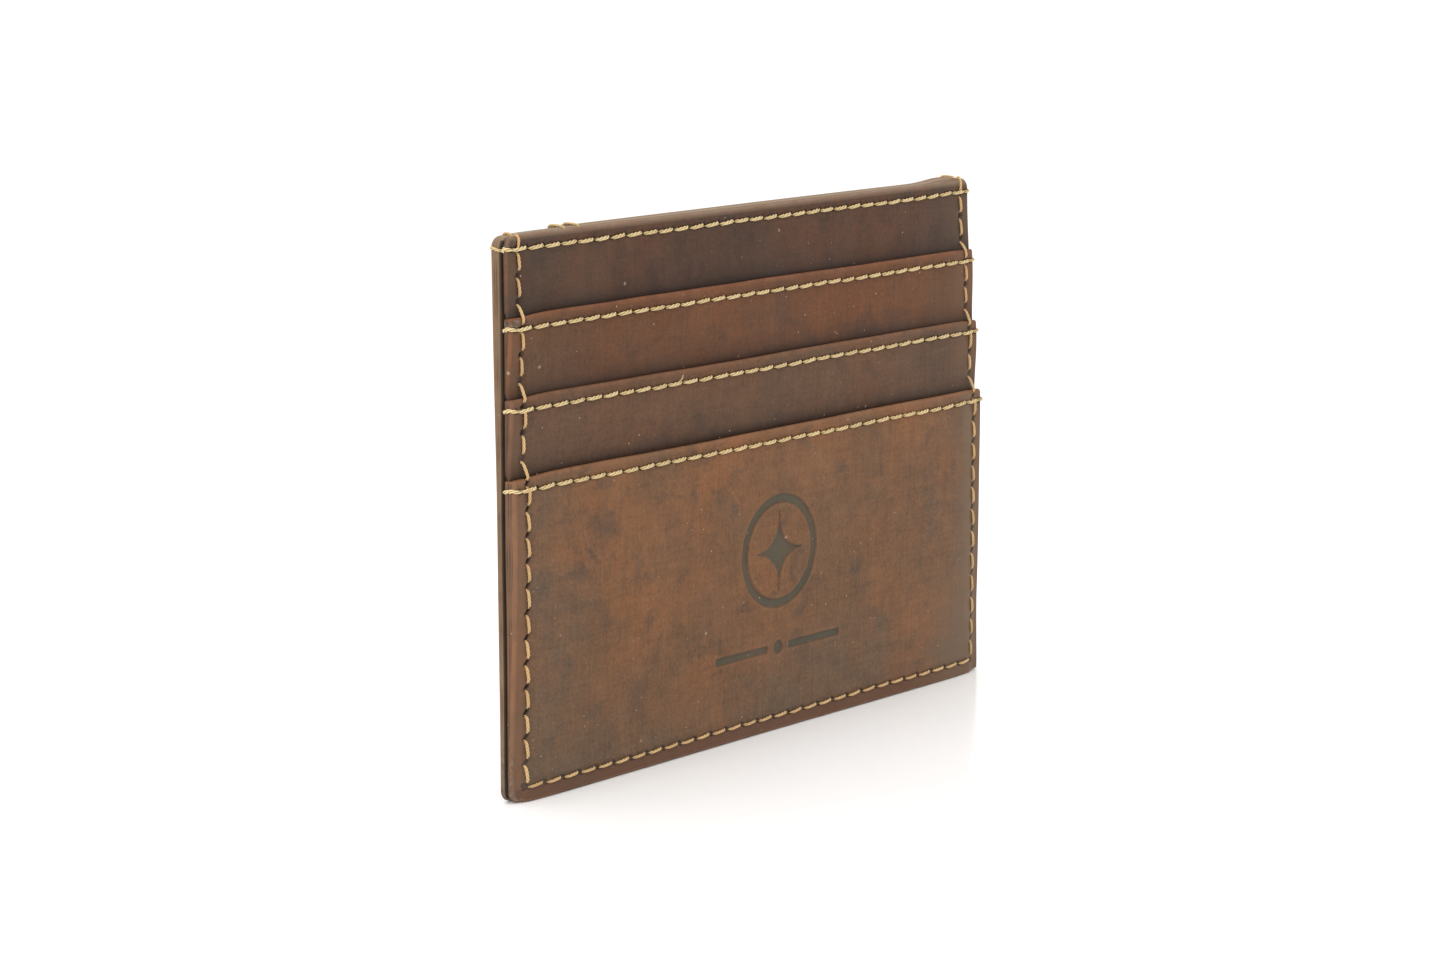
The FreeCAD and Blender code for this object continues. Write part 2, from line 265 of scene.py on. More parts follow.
def row_holes(strip):
    x = uneven(spaced(-row_end, row_end, row_pitch), strip.seed)
    return np.stack([x, strip.row_z(x)], 1)


def side_holes(sign, top, seed):
    z = uneven(spaced(seam_bottom, top, seam_pitch), seed)
    x = sign * seam_x + 0.07 * wander(z, seed, 31.0)
    return np.stack([x, z], 1)


def bottom_holes(left, right, seed):
    x = uneven(spaced(left, right, seam_pitch), seed)
    return np.stack([x, seam_bottom + 0.06 * wander(x, seed, 37.0)], 1)


def line_holes(start, end, seed):
    length = math.hypot(end[0] - start[0], end[1] - start[1])
    t = uneven(spaced(0.0, length, row_pitch), seed) / length
    return np.array(start) + t[:, None] * (np.array(end) - np.array(start))


seam_top = height - row_inset
front_rows = {s.name: row_holes(s) for s in strips}
front_left = side_holes(-1, seam_top, 31)
front_right = side_holes(1, seam_top, 32)
front_bottom = bottom_holes(-seam_x, seam_x, 33)
binding_right = binding_high[0]
back_left = side_holes(-1, seam_top, 34)
back_right = side_holes(1, seam_top, 35)
left_of_binding, right_of_binding = binding_low[0] - 0.5, binding_right + 0.5
back_bottom_left = bottom_holes(-seam_x, left_of_binding, 36)
back_bottom_right = bottom_holes(right_of_binding, seam_x, 37)
back_row_left = line_holes((-row_end, seam_top), (left_of_binding, seam_top), 38)
back_row_right = line_holes((right_of_binding, seam_top), (row_end, seam_top), 39)
wl, wr = window_row_low[0] + seam_radius, window_row_high[0] - seam_radius
wb, wt = window_row_low[2] + seam_radius, window_row_high[2] - seam_radius
window_sides = [
    line_holes((wl, wb), (wr, wb), 40), line_holes((wr, wb), (wr, wt), 41),
    line_holes((wr, wt), (wl, wt), 42), line_holes((wl, wt), (wl, wb), 43),
]
binding_inset = 0.75
binding_rows = [
    line_holes((x, 0.6), (x, height), seed) for x, seed in
    ((binding_low[0] + binding_inset, 44), (binding_right - binding_inset, 45))
]


def pinched(x, z, holes, width):
    """1 at each needle slit, which lies aslant to the seam, falling off round it."""
    total = np.zeros_like(x)
    along = holes[-1] - holes[0]
    turn = math.atan2(along[1], along[0]) + math.radians(slit_slant)
    ux, uz = math.cos(turn), math.sin(turn)
    for hx, hz in holes:
        near = (np.abs(x - hx) < 5 * width) & (np.abs(z - hz) < 5 * width)
        dx, dz = x[near] - hx, z[near] - hz
        long, short = dx * ux + dz * uz, dz * ux - dx * uz
        away = np.hypot(long / (2.3 * width), short / (0.95 * width))
        total[near] += smooth((1.3 - away) / 0.9)
    return np.clip(total, 0.0, 1.0)


def valley(x, z, holes, width):
    """1 along the line through the holes."""
    total = np.zeros_like(x)
    for (ax, az), (bx, bz) in zip(holes, holes[1:]):
        reach = 3 * width
        near = (x > min(ax, bx) - reach) & (x < max(ax, bx) + reach)
        near &= (z > min(az, bz) - reach) & (z < max(az, bz) + reach)
        px, pz = x[near] - ax, z[near] - az
        length2 = (bx - ax) ** 2 + (bz - az) ** 2
        t = np.clip((px * (bx - ax) + pz * (bz - az)) / length2, 0.0, 1.0)
        gap = np.hypot(px - t * (bx - ax), pz - t * (bz - az))
        total[near] = np.maximum(total[near], bell(gap, width))
    return total


def sewn(x, z, seams, hole_depth=0.5, valley_depth=0.1):
    """How deep the thread pulls the leather in, and the painted shade in its holes and along its
    line.
    """
    sink, dark = np.zeros_like(x), np.zeros_like(x)
    for holes, width in seams:
        pinch = pinched(x, z, holes, width)
        along = valley(x, z, holes, 2.2 * width)
        sink = np.maximum(sink, hole_depth * pinch + valley_depth * along)
        # Painted shade: dark in each needle hole, fainter along the groove between the holes.
        dark = np.maximum(dark, np.maximum(np.clip(1.4 * pinch, 0, 1), 0.14 * along))
    return sink, dark


row_hole, seam_hole = 0.22, 0.27
front_seams = [(holes, seam_hole) for holes in (front_left, front_right, front_bottom)]


# The plain pressed mark on the lower panel: a ring round a four-point star, and a rule

mark_x, mark_z = 2.4, 26.3
ring_radius, ring_band = 7.6, 0.55
star_radius = 5.6
rule_z, rule_half, rule_thick = 12.2, 13.5, 0.45
rule_start = 2.4
dot_radius = 0.9


def mark_distance(x, z):
    """Signed distance-like value: below 0 inside the pressed mark."""
    dx, dz = x - mark_x, z - mark_z
    away = np.hypot(dx, dz)
    ring = np.abs(away - ring_radius) - ring_band
    star = ((np.sqrt(np.abs(dx)) + np.sqrt(np.abs(dz))) ** 2 - star_radius) / 2.6
    rule_middle, rule_reach = 0.5 * (rule_half + rule_start), 0.5 * (rule_half - rule_start)
    rule = np.maximum(np.abs(np.abs(dx) - rule_middle) - rule_reach,
                      np.abs(z - rule_z) - rule_thick)
    dot = np.hypot(dx, z - rule_z) - dot_radius
    return np.minimum(np.minimum(ring, star), np.minimum(rule, dot))


def pressed_mark(x, z):
    """How deep the mark is pressed in, its floor, a painted highlight on its raised rim and painted
    shade in the crease at its wall.
    """
    edge = mark_distance(x, z)
    sink = 0.26 * smooth(0.5 - edge / 0.3) - 0.06 * bell(edge - 0.32, 0.22)
    floor = smooth(0.5 - edge / 0.2)
    return sink, floor, 0.8 * bell(edge - 0.3, 0.16), 0.6 * bell(edge - 0.02, 0.14)


# Meshes

def grid_quads(ids, flip=False):
    a, b, c, d = ids[:-1, :-1], ids[1:, :-1], ids[1:, 1:], ids[:-1, 1:]
    order = (a, d, c, b) if flip else (a, b, c, d)
    return np.stack([q.ravel() for q in order], 1).tolist()


def make_piece(name, points, faces, material, attributes=None, weld=True):
    mesh = bpy.data.meshes.new(name)
    mesh.from_pydata((settled(np.asarray(points, float)) * MM).tolist(), [], faces)
    for key, values in (attributes or {}).items():
        layer = mesh.attributes.new(key, "FLOAT", "POINT")
        layer.data.foreach_set("value", np.asarray(values, np.float32))
    bm = bmesh.new()
    bm.from_mesh(mesh)
    if weld:
        bmesh.ops.remove_doubles(bm, verts=bm.verts, dist=2e-7)
        bmesh.ops.dissolve_degenerate(bm, edges=bm.edges, dist=1e-7)
    bmesh.ops.recalc_face_normals(bm, faces=bm.faces)
    bm.to_mesh(mesh)
    bm.free()
    mesh.polygons.foreach_set("use_smooth", [True] * len(mesh.polygons))
    mesh.materials.append(material)
    piece = bpy.data.objects.new(name, mesh)
    bpy.context.scene.collection.objects.link(piece)
    return piece


# A turned edge runs through numbered levels: the flat face, the round edge, the side wall and
# then the hem behind. Each name here is the number of one of those levels.
last_flat, first_round, second_round, steep_round = 2, 3, 4, 6
first_wall, last_wear_and_highlight, last_seen = 8, 9, 12
gap_levels = (17, 18, 19, 20)
hem_start = 1.4


def section_levels():
    """Levels of a turned edge: (inset from the outline, share of the thickness, extra depth)."""
    levels = [(corner, 0.0, 0.0), (1.1, 0.0, 0.0), (0.75, 0.0, 0.01)]
    for degrees in (0, 18, 36, 54, 72, 90):
        turn = math.radians(degrees)
        levels.append((front_round * (1 - math.sin(turn)), 0.0, front_round * (1 - math.cos(turn))))
    wall = front_round + back_round
    for share in (0.12, 0.25, 0.37, 0.5, 0.62, 0.75, 0.88):
        levels.append((0.0, share, front_round - share * wall))
    for degrees in (0, 30, 60, 90):
        turn = math.radians(degrees)
        levels.append((back_round * (1 - math.cos(turn)), 1.0, -back_round * (1 - math.sin(turn))))
    for inset in (hem_start, 0.5 * (hem_start + hem_reach), hem_reach):
        levels.append((inset, 1.0, 0.0))
    return np.array(levels)


class Levels:
    """Columns or rows of a panel: edge levels at both ends and plain places between."""

    def __init__(self, places, count, low_edge, high_edge):
        below = list(range(count - 1, 0, -1)) if low_edge else []
        above = list(range(1, count)) if high_edge else []
        self.level = np.array(below + [0] * len(places) + above)
        self.sign = np.array([-1] * len(below) + [0] * len(places) + [1] * len(above))
        self.place = np.array([0.0] * len(below) + list(places) + [0.0] * len(above))


def outline_point(cols, rows, inset):
    """Place on the face, or at an inset from the outline with round corners."""
    kx, kz = cols.level[:, None], rows.level[None, :]
    sx, sz = cols.sign[:, None], rows.sign[None, :]
    x = np.where(kx > 0, sx * (half - inset), cols.place[:, None])
    end = np.where(sz > 0, height, 0.0)
    z = np.where(kz > 0, end - sz * inset, rows.place[None, :])
    both = (kx > 0) & (kz > 0)
    most, least = np.maximum(kx, kz), np.minimum(kx, kz)
    turn = np.where(both, least / np.maximum(most, 1), 0.0) * math.pi / 4
    reach = corner - inset
    squarer = 1.0 + np.where((sx > 0) & (sz < 0), 0.8, 0.0) * (1.0 / np.cos(turn) - 1.0)
    far, near = squarer * reach * np.cos(turn), squarer * reach * np.sin(turn)
    dx, dz = np.where(kx >= kz, far, near), np.where(kx >= kz, near, far)
    centre_z = end - sz * corner
    x = np.where(both, sx * (half - corner + dx), x)
    z = np.where(both, centre_z + sz * dz, z)
    return x, z


def shifted(z, strip, x):
    """The rows near a lip follow its line."""
    if strip is None or strip.name == "band":
        return z + top_rise(x, z)
    return z + (strip.lip_z(x) - strip.lip) * smooth((z - (strip.lip - 7.0)) / 6.0)


sheared_inset = edge_leather + 0.12


def wall_creases(share, z, seed):
    """Fine folds that run along the side walls, 0 to 1."""
    folds = 0.5 - 0.5 * np.cos(2 * math.pi * 2.6 * share + 1.1 * wander(z, seed + 5, 26.0))
    folds = np.clip(folds ** 3 * (0.75 + 0.55 * wander(z, seed + 4, 11.0)), 0.0, 1.0)
    return np.where((share > 0) & (share < 1), folds, 0.0)


def sheared(inset, level, hidden):
    """A hidden part ends in a plain cut instead of a turned edge."""
    inset = np.where(hidden & (level > last_flat), np.maximum(inset, sheared_inset), inset)
    return np.where(hidden & (level >= first_wall), sheared_inset, inset)


def lip_crown(start, end):
    """Half-round rows of points from the outer skin over a lip to the inner skin."""
    arcs = 7
    centre, radius = (start + end) / 2, np.linalg.norm(end - start, axis=1) / 2
    crown = []
    for step in range(1, arcs):
        turn = math.pi * step / arcs
        point = centre + (start - centre) * math.cos(turn)
        point[:, 2] += radius * math.sin(turn)
        crown.append(point)
    return np.stack(crown, 1)


class TurnedPanel:
    """A leather piece with turned edges: outer skin, inner skin, and a round lip or hems."""

    def __init__(self, side, xs, zs, depth, leather, seams, bottom_edge=False, top_edge=False,
                 strip=None, hem=front_hem, mark=False, groove=0.13, seed=0):
        self.side, self.depth, self.leather, self.seams = side, depth, leather, seams
        self.bottom_edge, self.top_edge, self.strip = bottom_edge, top_edge, strip
        self.hem, self.mark, self.groove, self.seed = hem, mark, groove, seed
        self.tucked = strip is not None and strip.bare > 0
        self.levels = section_levels()
        self.cols = Levels(xs, len(self.levels), True, True)
        self.rows = Levels(zs, len(self.levels), bottom_edge, top_edge)
        self.level = np.maximum(self.cols.level[:, None], self.rows.level[None, :])
        self.hidden = np.zeros_like(self.level, bool)
        if self.tucked:
            flat = self.rows.level[None, :] == 0
            below = flat & (self.rows.place[None, :] < strip.bare)
            self.hidden = np.broadcast_to(below, self.level.shape)

    def outer_inset(self):
        """How far each point stands in from the outline, and the creases of the side walls."""
        inset, share, _ = self.levels[self.level].transpose(2, 0, 1)
        _, z = outline_point(self.cols, self.rows, inset)
        creases = wall_creases(share, z, self.seed)
        inset = inset + self.groove * creases
        if self.tucked:
            under = smooth((self.strip.bare + tuck + 0.1 - z) / 0.5)
            inset = np.where(self.level >= steep_round, inset + 0.25 * under, inset)
        return sheared(inset, self.level, self.hidden), creases

    def outer_skin(self):
        """Points of the skin that shows, and the tones that its leather reads."""
        inset, creases = self.outer_inset()
        _, share, extra = self.levels[self.level].transpose(2, 0, 1)
        x, z = outline_point(self.cols, self.rows, inset)
        z = shifted(z, self.strip, x)
        face, cut = self.depth(x, z), self.leather(z)
        sink, dark = sewn(x, z, self.seams)
        sink = np.where(self.level <= last_flat, sink, 0.0)
        dark = np.where(self.level <= second_round, dark, 0.0)
        # Painted shade in the gap where the two leaves part, at the inner round of their side
        # edges.
        in_gap = np.isin(self.cols.level, gap_levels)[:, None]
        # Tones: painted shade in the wall folds and above each lip, wear with a painted highlight
        # on the rounded edges and lip, and the leather's own tones.
        tones = {
            "dark": np.maximum(dark, np.where(in_gap, 0.72, 0.0)), "pressed": np.zeros_like(x),
            "wear_and_highlight": self.wear_and_highlight(x, z), "rim": self.rim(x, z), "crease_shade": creases,
            "scuff": self.scuff(x, z), "fade": self.fade(x, z), "painted_shade": self.painted_shade(x, z),
            "deep": smooth((2.1 - z) / 0.4) * (self.level <= last_seen) * self.bottom_edge,
            "polish_and_highlight": self.polish_and_highlight(x, z),
        }
        if self.mark:
            # A painted highlight on the mark's raised rim and painted shade in the crease at its
            # wall.
            pressed, tones["pressed"], mark_rim_highlight, crease_shade = pressed_mark(x, z)
            sink = sink + pressed
            tones["wear_and_highlight"] = np.maximum(tones["wear_and_highlight"], mark_rim_highlight)
            tones["crease_shade"] = np.maximum(creases, crease_shade)
        back = share * (face - leaf_inner) + extra
        back = np.where(self.hidden & (self.level >= first_wall), cut, back)
        back = np.where(self.hidden, np.minimum(back, cut), back)
        y = self.side * (face - sink - back) + bend_of(self.side)(x, z)
        return np.stack([x, y, z], 2), tones

    def wear_and_highlight(self, x, z):
        """Rubbed paler round the edges and along the lip: partly wear, partly a painted highlight.
        """
        edge_wear_and_highlight = (self.level >= second_round) & (self.level <= last_wear_and_highlight)
        wear_and_highlight = np.where(edge_wear_and_highlight, 1.0, 0.0)
        if self.strip is not None and self.strip is not band:
            wear_and_highlight = np.maximum(wear_and_highlight, bell(z - self.strip.lip_z(x) + 0.2, 0.4))
        return wear_and_highlight

    def rim(self, x, z):
        """The margin outside the seams, which has its own tone."""
        margin = half - np.abs(x)
        margin = np.minimum(margin, z) if self.bottom_edge else margin
        turned = np.where(self.level > first_round, 1.0, 0.0)
        return np.maximum(smooth((2.0 - margin) / 0.5), turned)

    def fade(self, x, z):
        """Duller towards the sides, and over a wider stretch on the right."""
        margin = half - np.abs(x)
        margin = np.minimum(margin, 1.3 * z + 0.5) if self.bottom_edge else margin
        return 1.0 - smooth(margin / np.where(x > 0, 24.0, 17.0))

    def polish_and_highlight(self, x, z):
        """Handled smooth and greyish along the right seam, most of all low on the panel, with a
        painted highlight where the lower panel bulges beside the seam.
        """
        polish_and_highlight = 0.6 * smooth((x - seam_x + 6.0) / 5.0)
        if self.strip is lower:
            # A painted highlight beside the seam, where the leather bulges.
            polish_and_highlight = polish_and_highlight + 0.4 * bell(x - seam_x + 1.5, 0.9) * smooth((z - 4.0) / 6.0)
            low_right = smooth((x - seam_x + 17.0) / 13.0) * smooth((25.0 - z) / 17.0)
            polish_and_highlight = np.maximum(polish_and_highlight, 0.55 * low_right)
        return polish_and_highlight

    def painted_shade(self, x, z):
        """Painted shadow just above each lip in front of this strip."""
        painted_shade = np.zeros_like(x)
        for ahead in strips[strips.index(self.strip) + 1:] if self.strip is not None else ():
            above = z - ahead.lip_z(x)
            near = np.exp(-np.clip(above, 0.0, 60.0) / 1.8) * (above > -6.0)
            painted_shade = np.maximum(painted_shade, near)
        return painted_shade

    def scuff(self, x, z):
        """Grey scuffs: the bottom left corner, the top left corner and beside the upper lip."""
        if self.strip is band:
            return 0.8 * bell(np.hypot(x + half, z - height), 2.4) * (self.level >= last_flat)
        if self.strip is upper:
            return bell(x + half - 0.8, 2.0) * smooth((z - upper.lip + 2.2) / 0.5)
        if self.bottom_edge:
            corner_wear = smooth((13.0 - z) / 11.0) * smooth((x + half - 2.4) / -1.2)
            return 0.75 * corner_wear * (self.level >= first_round)
        return np.zeros_like(x)

    def kept_rows(self):
        """Every ninth row does for the inner skin, with the rows at its edges and steps."""
        count, hidden = len(self.rows.level), self.hidden[0]
        steps = {j for j in range(1, count) if hidden[j] != hidden[j - 1]}
        kept = {0, count - 1} | set(range(0, count, 9)) | steps | {j - 1 for j in steps}
        return sorted(kept | {j for j in range(count) if self.rows.level[j] > 0})

    def inner_skin(self, kept):
        level, hidden = self.level[:, kept], self.hidden[:, kept]
        inset, share, _ = self.levels[level].transpose(2, 0, 1)
        inset = sheared(np.maximum(inset, edge_leather), level, hidden)
        rows = Levels([], 0, False, False)
        rows.level, rows.sign = self.rows.level[kept], self.rows.sign[kept]
        rows.place = self.rows.place[kept]
        x, z = outline_point(self.cols, rows, inset)
        z = shifted(z, self.strip, x)
        face, cut = self.depth(x, z), self.leather(z)
        thick = np.maximum(face - leaf_inner - self.hem, cut)
        back = np.where(hidden, cut, cut + share * (thick - cut))
        return np.stack([x, self.side * (face - back) + bend_of(self.side)(x, z), z], 2)

    def build(self, name, material):
        outer, tones = self.outer_skin()
        kept = self.kept_rows()
        inner = self.inner_skin(kept)
        m, n = self.level.shape
        outer_ids = np.arange(m * n).reshape(m, n)
        inner_ids = m * n + np.arange(m * len(kept)).reshape(m, len(kept))
        faces = grid_quads(outer_ids) + grid_quads(inner_ids, True)
        for i in (0, m - 1):
            for a in range(len(kept) - 1):
                ring = list(outer_ids[i, kept[a]:kept[a + 1] + 1])
                faces.append([int(v) for v in ring + [inner_ids[i, a + 1], inner_ids[i, a]]])
        faces += grid_quads(np.stack([inner_ids[:, 0], outer_ids[:, 0]], 1))
        if self.top_edge:
            crown = np.zeros((m, 0, 3))
            faces += grid_quads(np.stack([outer_ids[:, -1], inner_ids[:, -1]], 1))
        else:
            crown = lip_crown(outer[:, -1], inner[:, -1])
            crown_ids = np.arange(crown.size // 3).reshape(crown.shape[:2])
            crown_ids = crown_ids + outer_ids.size + inner_ids.size
            bridge = np.concatenate([outer_ids[:, -1:], crown_ids, inner_ids[:, -1:]], 1)
            faces += grid_quads(bridge)
            faces += [[int(v) for v in bridge[i]] for i in (0, m - 1)]
        attributes = {}
        # The lip's crown gets the full wear and painted highlight, the inner skin the rim tone.
        for key, values in tones.items():
            inside = np.full(inner_ids.size, 1.0 if key == "rim" else 0.0)
            on_lip = np.full(crown.size // 3, 1.0 if key == "wear_and_highlight" else 0.0)
            attributes[key] = np.concatenate([values.ravel(), inside, on_lip])
        points = np.concatenate([part.reshape(-1, 3) for part in (outer, inner, crown)])
        return make_piece(name, points, faces, material, attributes)


def places(*stretches):
    """Grid places: each stretch is (start, end, spacing)."""
    values = []
    for start, end, spacing in stretches:
        count = max(1, round((end - start) / spacing))
        values += list(np.linspace(start, end, count, endpoint=False))
    return values + [stretches[-1][1]]


def focused(values, centres, reach=0.42, close=0.14):
    """Grid places with a few close ones round each centre, where a needle hole is."""
    values = np.asarray(values, float)
    centres = [c for c in centres if values[0] + reach < c < values[-1] - reach]
    for centre in centres:
        values = values[np.abs(values - centre) > reach + 0.5 * close]
    steps = np.linspace(-reach, reach, round(2 * reach / close) + 1)
    values = np.sort(np.concatenate([values] + [centre + steps for centre in centres]))
    wide_enough = np.concatenate([[True], np.diff(values) > 0.03])
    return list(values[wide_enough])


def face_columns(spacing, centres=(), fine=None):
    edge = half - corner
    if fine is None:
        return focused(places((-edge, edge, spacing)), centres)
    left, right, close = fine
    columns = places((-edge, left, spacing), (left, right, close), (right, edge, spacing))
    return focused(columns, centres)


# Thread

def resampled(points, count):
    """A smooth line through the points (Catmull-Rom), evenly shared out."""
    points = np.asarray(points, float)
    ends = np.concatenate([2 * points[:1] - points[1:2], points, 2 * points[-1:] - points[-2:-1]])
    spans = len(points) - 1
    t = np.linspace(0, spans, count)
    i = np.minimum(t.astype(int), spans - 1)
    u = (t - i)[:, None]
    a, b, c, d = ends[i], ends[i + 1], ends[i + 2], ends[i + 3]
    return 0.5 * (2 * b + (c - a) * u + (2 * a - 5 * b + 4 * c - d) * u ** 2
                  + (3 * b - a - 3 * c + d) * u ** 3)


row_gap, seam_gap = 0.28, 0.4


def bridged(values):
    """A tight thread spans hollows: the upper hull of the heights under it."""
    best = values.copy()
    n = len(values)
    for i in range(n):
        for j in range(i + 2, n):
            for k in range(i + 1, j):
                level = values[i] + (values[j] - values[i]) * (k - i) / (j - i)
                best[k] = max(best[k], level)
    return best


def stitch_line(a, b, slant, side, depth, radius, sink=0.6, seed=0, gap=row_gap):
    """One visible stitch: out of hole a, over the leather, into hole b."""
    t = np.linspace(0.0, 1.0, 17)
    step = gap * (np.array(b) - np.array(a)) / math.hypot(b[0] - a[0], b[1] - a[1])
    a, b = np.array(a) + step, np.array(b) - step
    along = b - a
    normal = np.array([-along[1], along[0]]) / np.linalg.norm(along)
    rng = np.random.default_rng(seed)
    lateral = slant * (2 * t - 1) * rng.uniform(0.7, 1.25) + rng.uniform(-0.03, 0.03)
    lateral = lateral * (1 - 0.15 * (2 * t - 1) ** 4)
    spot = np.array(a) + t[:, None] * along + lateral[:, None] * normal
    x, z = spot[:, 0], spot[:, 1]
    under = bridged(depth(x, z))
    rise = 1 - np.abs(2 * t - 1) ** 6
    lift = radius * (0.5 + 0.12 * rng.uniform(-1, 1)) * rise - sink * (1 - rise)
    y = side * (under + lift) + bend_of(side)(x, z)
    return np.stack([x, y, z], 1)


def seam_lines(holes, slant, side, depth, radius, seed, gap=row_gap):
    return [stitch_line(a, b, slant, side, depth, radius, seed=seed * 100 + i, gap=gap)
            for i, (a, b) in enumerate(zip(holes, holes[1:]))]


def thread_piece(name, lines, material):
    """Twisted three-strand thread along each line; a line is (points, radius)."""
    strands, ring = 3, 6
    points, faces, tint, crevice_shade = [], [], [], []
    for number, (line, radius) in enumerate(lines):
        step = np.gradient(line, axis=0)
        tangent = step / np.linalg.norm(step, axis=1)[:, None]
        start = np.array([0.31, 0.2, 0.93])
        first = np.cross(tangent, start)
        first /= np.linalg.norm(first, axis=1)[:, None]
        second = np.cross(tangent, first)
        run = np.concatenate([[0], np.cumsum(np.linalg.norm(np.diff(line, axis=0), axis=1))])
        twist = -2 * math.pi * run / (radius * 9.0) + number * 1.7
        plump = 0.68 + 0.38 * np.sqrt(np.clip(np.sin(math.pi * run / run[-1]), 0.0, 1.0))
        for strand in range(strands):
            turn = twist + 2 * math.pi * strand / strands
            centre = line + (radius * 0.52 * plump)[:, None] * (
                np.cos(turn)[:, None] * first + np.sin(turn)[:, None] * second)
            base = sum(len(p) for p in points)
            around = 2 * math.pi * np.arange(ring) / ring
            shell = centre[:, None, :] + (0.5 * radius * plump)[:, None, None] * (
                np.cos(around)[None, :, None] * first[:, None, :]
                + np.sin(around)[None, :, None] * second[:, None, :])
            points.append(shell.reshape(-1, 3))
            ids = base + np.arange(len(line) * ring).reshape(len(line), ring)
            faces += grid_quads(np.concatenate([ids, ids[:, :1]], 1))
            faces += [[int(v) for v in ids[0][::-1]], [int(v) for v in ids[-1]]]
            tint.append(np.full(len(line) * ring, (number * 0.618) % 1.0))
            # Painted shade on the strands' inner sides, where they press together.
            away = np.linalg.norm(shell - line[:, None, :], axis=2) / radius
            crevice_shade.append(np.clip((0.92 - away) / 0.45, 0.0, 1.0).ravel())
    return make_piece(name, np.concatenate(points), faces, material,
                      {"tint": np.concatenate(tint), "crevice_shade": np.concatenate(crevice_shade)}, weld=False)


def with_radius(lines, radius):
    return [(line, radius) for line in lines]


# Node materials. Coordinates are object coordinates, so lengths there are metres.

class Shader:
    """A node material built up with short calls."""

    def __init__(self, name):
        self.material = bpy.data.materials.new(name)
        self.material.use_nodes = True
        self.tree = self.material.node_tree
        self.shader = self.tree.nodes["Principled BSDF"]
        self.place = self.new("ShaderNodeTexCoord").outputs["Object"]

    def new(self, kind, **settings):
        made = self.tree.nodes.new(kind)
        for key, value in settings.items():
            setattr(made, key, value)
        return made

    def feed(self, socket, value):
        if isinstance(value, bpy.types.NodeSocket):
            self.tree.links.new(value, socket)
        else:
            socket.default_value = value

    def scaled(self, x, y, z):
        mapping = self.new("ShaderNodeMapping")
        self.feed(mapping.inputs["Vector"], self.place)
        mapping.inputs["Scale"].default_value = (x, y, z)
        return mapping.outputs["Vector"]

    def noise(self, length, detail=3.0, rough=0.5, at=None, warp=0.0):
        """Noise with features about length millimetres across, 0 to 1."""
        made = self.new("ShaderNodeTexNoise")
        self.feed(made.inputs["Vector"], at or self.place)
        made.inputs["Scale"].default_value = 1.0 / (length * MM)
        made.inputs["Detail"].default_value = detail
        made.inputs["Roughness"].default_value = rough
        made.inputs["Distortion"].default_value = warp
        return made.outputs["Fac"]

    def specks(self, spacing, size):
        """1 at small spots about spacing millimetres apart."""
        made = self.new("ShaderNodeTexVoronoi")
        self.feed(made.inputs["Vector"], self.place)
        made.inputs["Scale"].default_value = 1.0 / (spacing * MM)
        share = size / spacing
        return self.fit(made.outputs["Distance"], share, 0.4 * share, 0.0, 1.0)

    def fit(self, value, low, high, to_low=0.0, to_high=1.0):
        made = self.new("ShaderNodeMapRange")
        made.clamp = True
        self.feed(made.inputs["Value"], value)
        for key, number in (("From Min", low), ("From Max", high), ("To Min", to_low),
                            ("To Max", to_high)):
            made.inputs[key].default_value = number
        return made.outputs["Result"]

    def math(self, operation, a, b=0.0):
        made = self.new("ShaderNodeMath", operation=operation)
        self.feed(made.inputs[0], a)
        self.feed(made.inputs[1], b)
        return made.outputs["Value"]

    def mix(self, share, a, b, blend="MIX"):
        made = self.new("ShaderNodeMix", data_type="RGBA", blend_type=blend)
        self.feed(made.inputs["Factor"], share)
        self.feed(made.inputs[6], a)
        self.feed(made.inputs[7], b)
        return made.outputs[2]

    def grey(self, value):
        made = self.new("ShaderNodeCombineColor")
        for socket in made.inputs[:3]:
            self.feed(socket, value)
        return made.outputs["Color"]

    def up(self):
        made = self.new("ShaderNodeSeparateXYZ")
        self.feed(made.inputs["Vector"], self.place)
        return made.outputs["Z"]

    def attribute(self, key):
        return self.new("ShaderNodeAttribute", attribute_name=key).outputs["Fac"]

    def stain(self, colour, key, share, paint):
        """Paint where the mesh's attribute says, up to that share."""
        return self.mix(self.math("MULTIPLY", self.attribute(key), share), colour, paint)

    def bump(self, height, strength, depth, under=None):
        """Height of a map as bump, depth millimetres deep."""
        made = self.new("ShaderNodeBump")
        made.inputs["Strength"].default_value = strength
        made.inputs["Distance"].default_value = depth * MM
        self.feed(made.inputs["Height"], height)
        if under is not None:
            self.feed(made.inputs["Normal"], under)
        return made.outputs["Normal"]

    def finish(self, colour, roughness, normal=None, **settings):
        self.feed(self.shader.inputs["Base Color"], colour)
        self.feed(self.shader.inputs["Roughness"], roughness)
        if normal is not None:
            self.feed(self.shader.inputs["Normal"], normal)
        for key, value in settings.items():
            self.shader.inputs[key.replace("_", " ")].default_value = value
        return self.material


def tone(red, green, blue):
    """A colour given as it looks on a screen, 0 to 255."""
    return tuple(((v / 255 + 0.055) / 1.055) ** 2.4 for v in (red, green, blue)) + (1.0,)


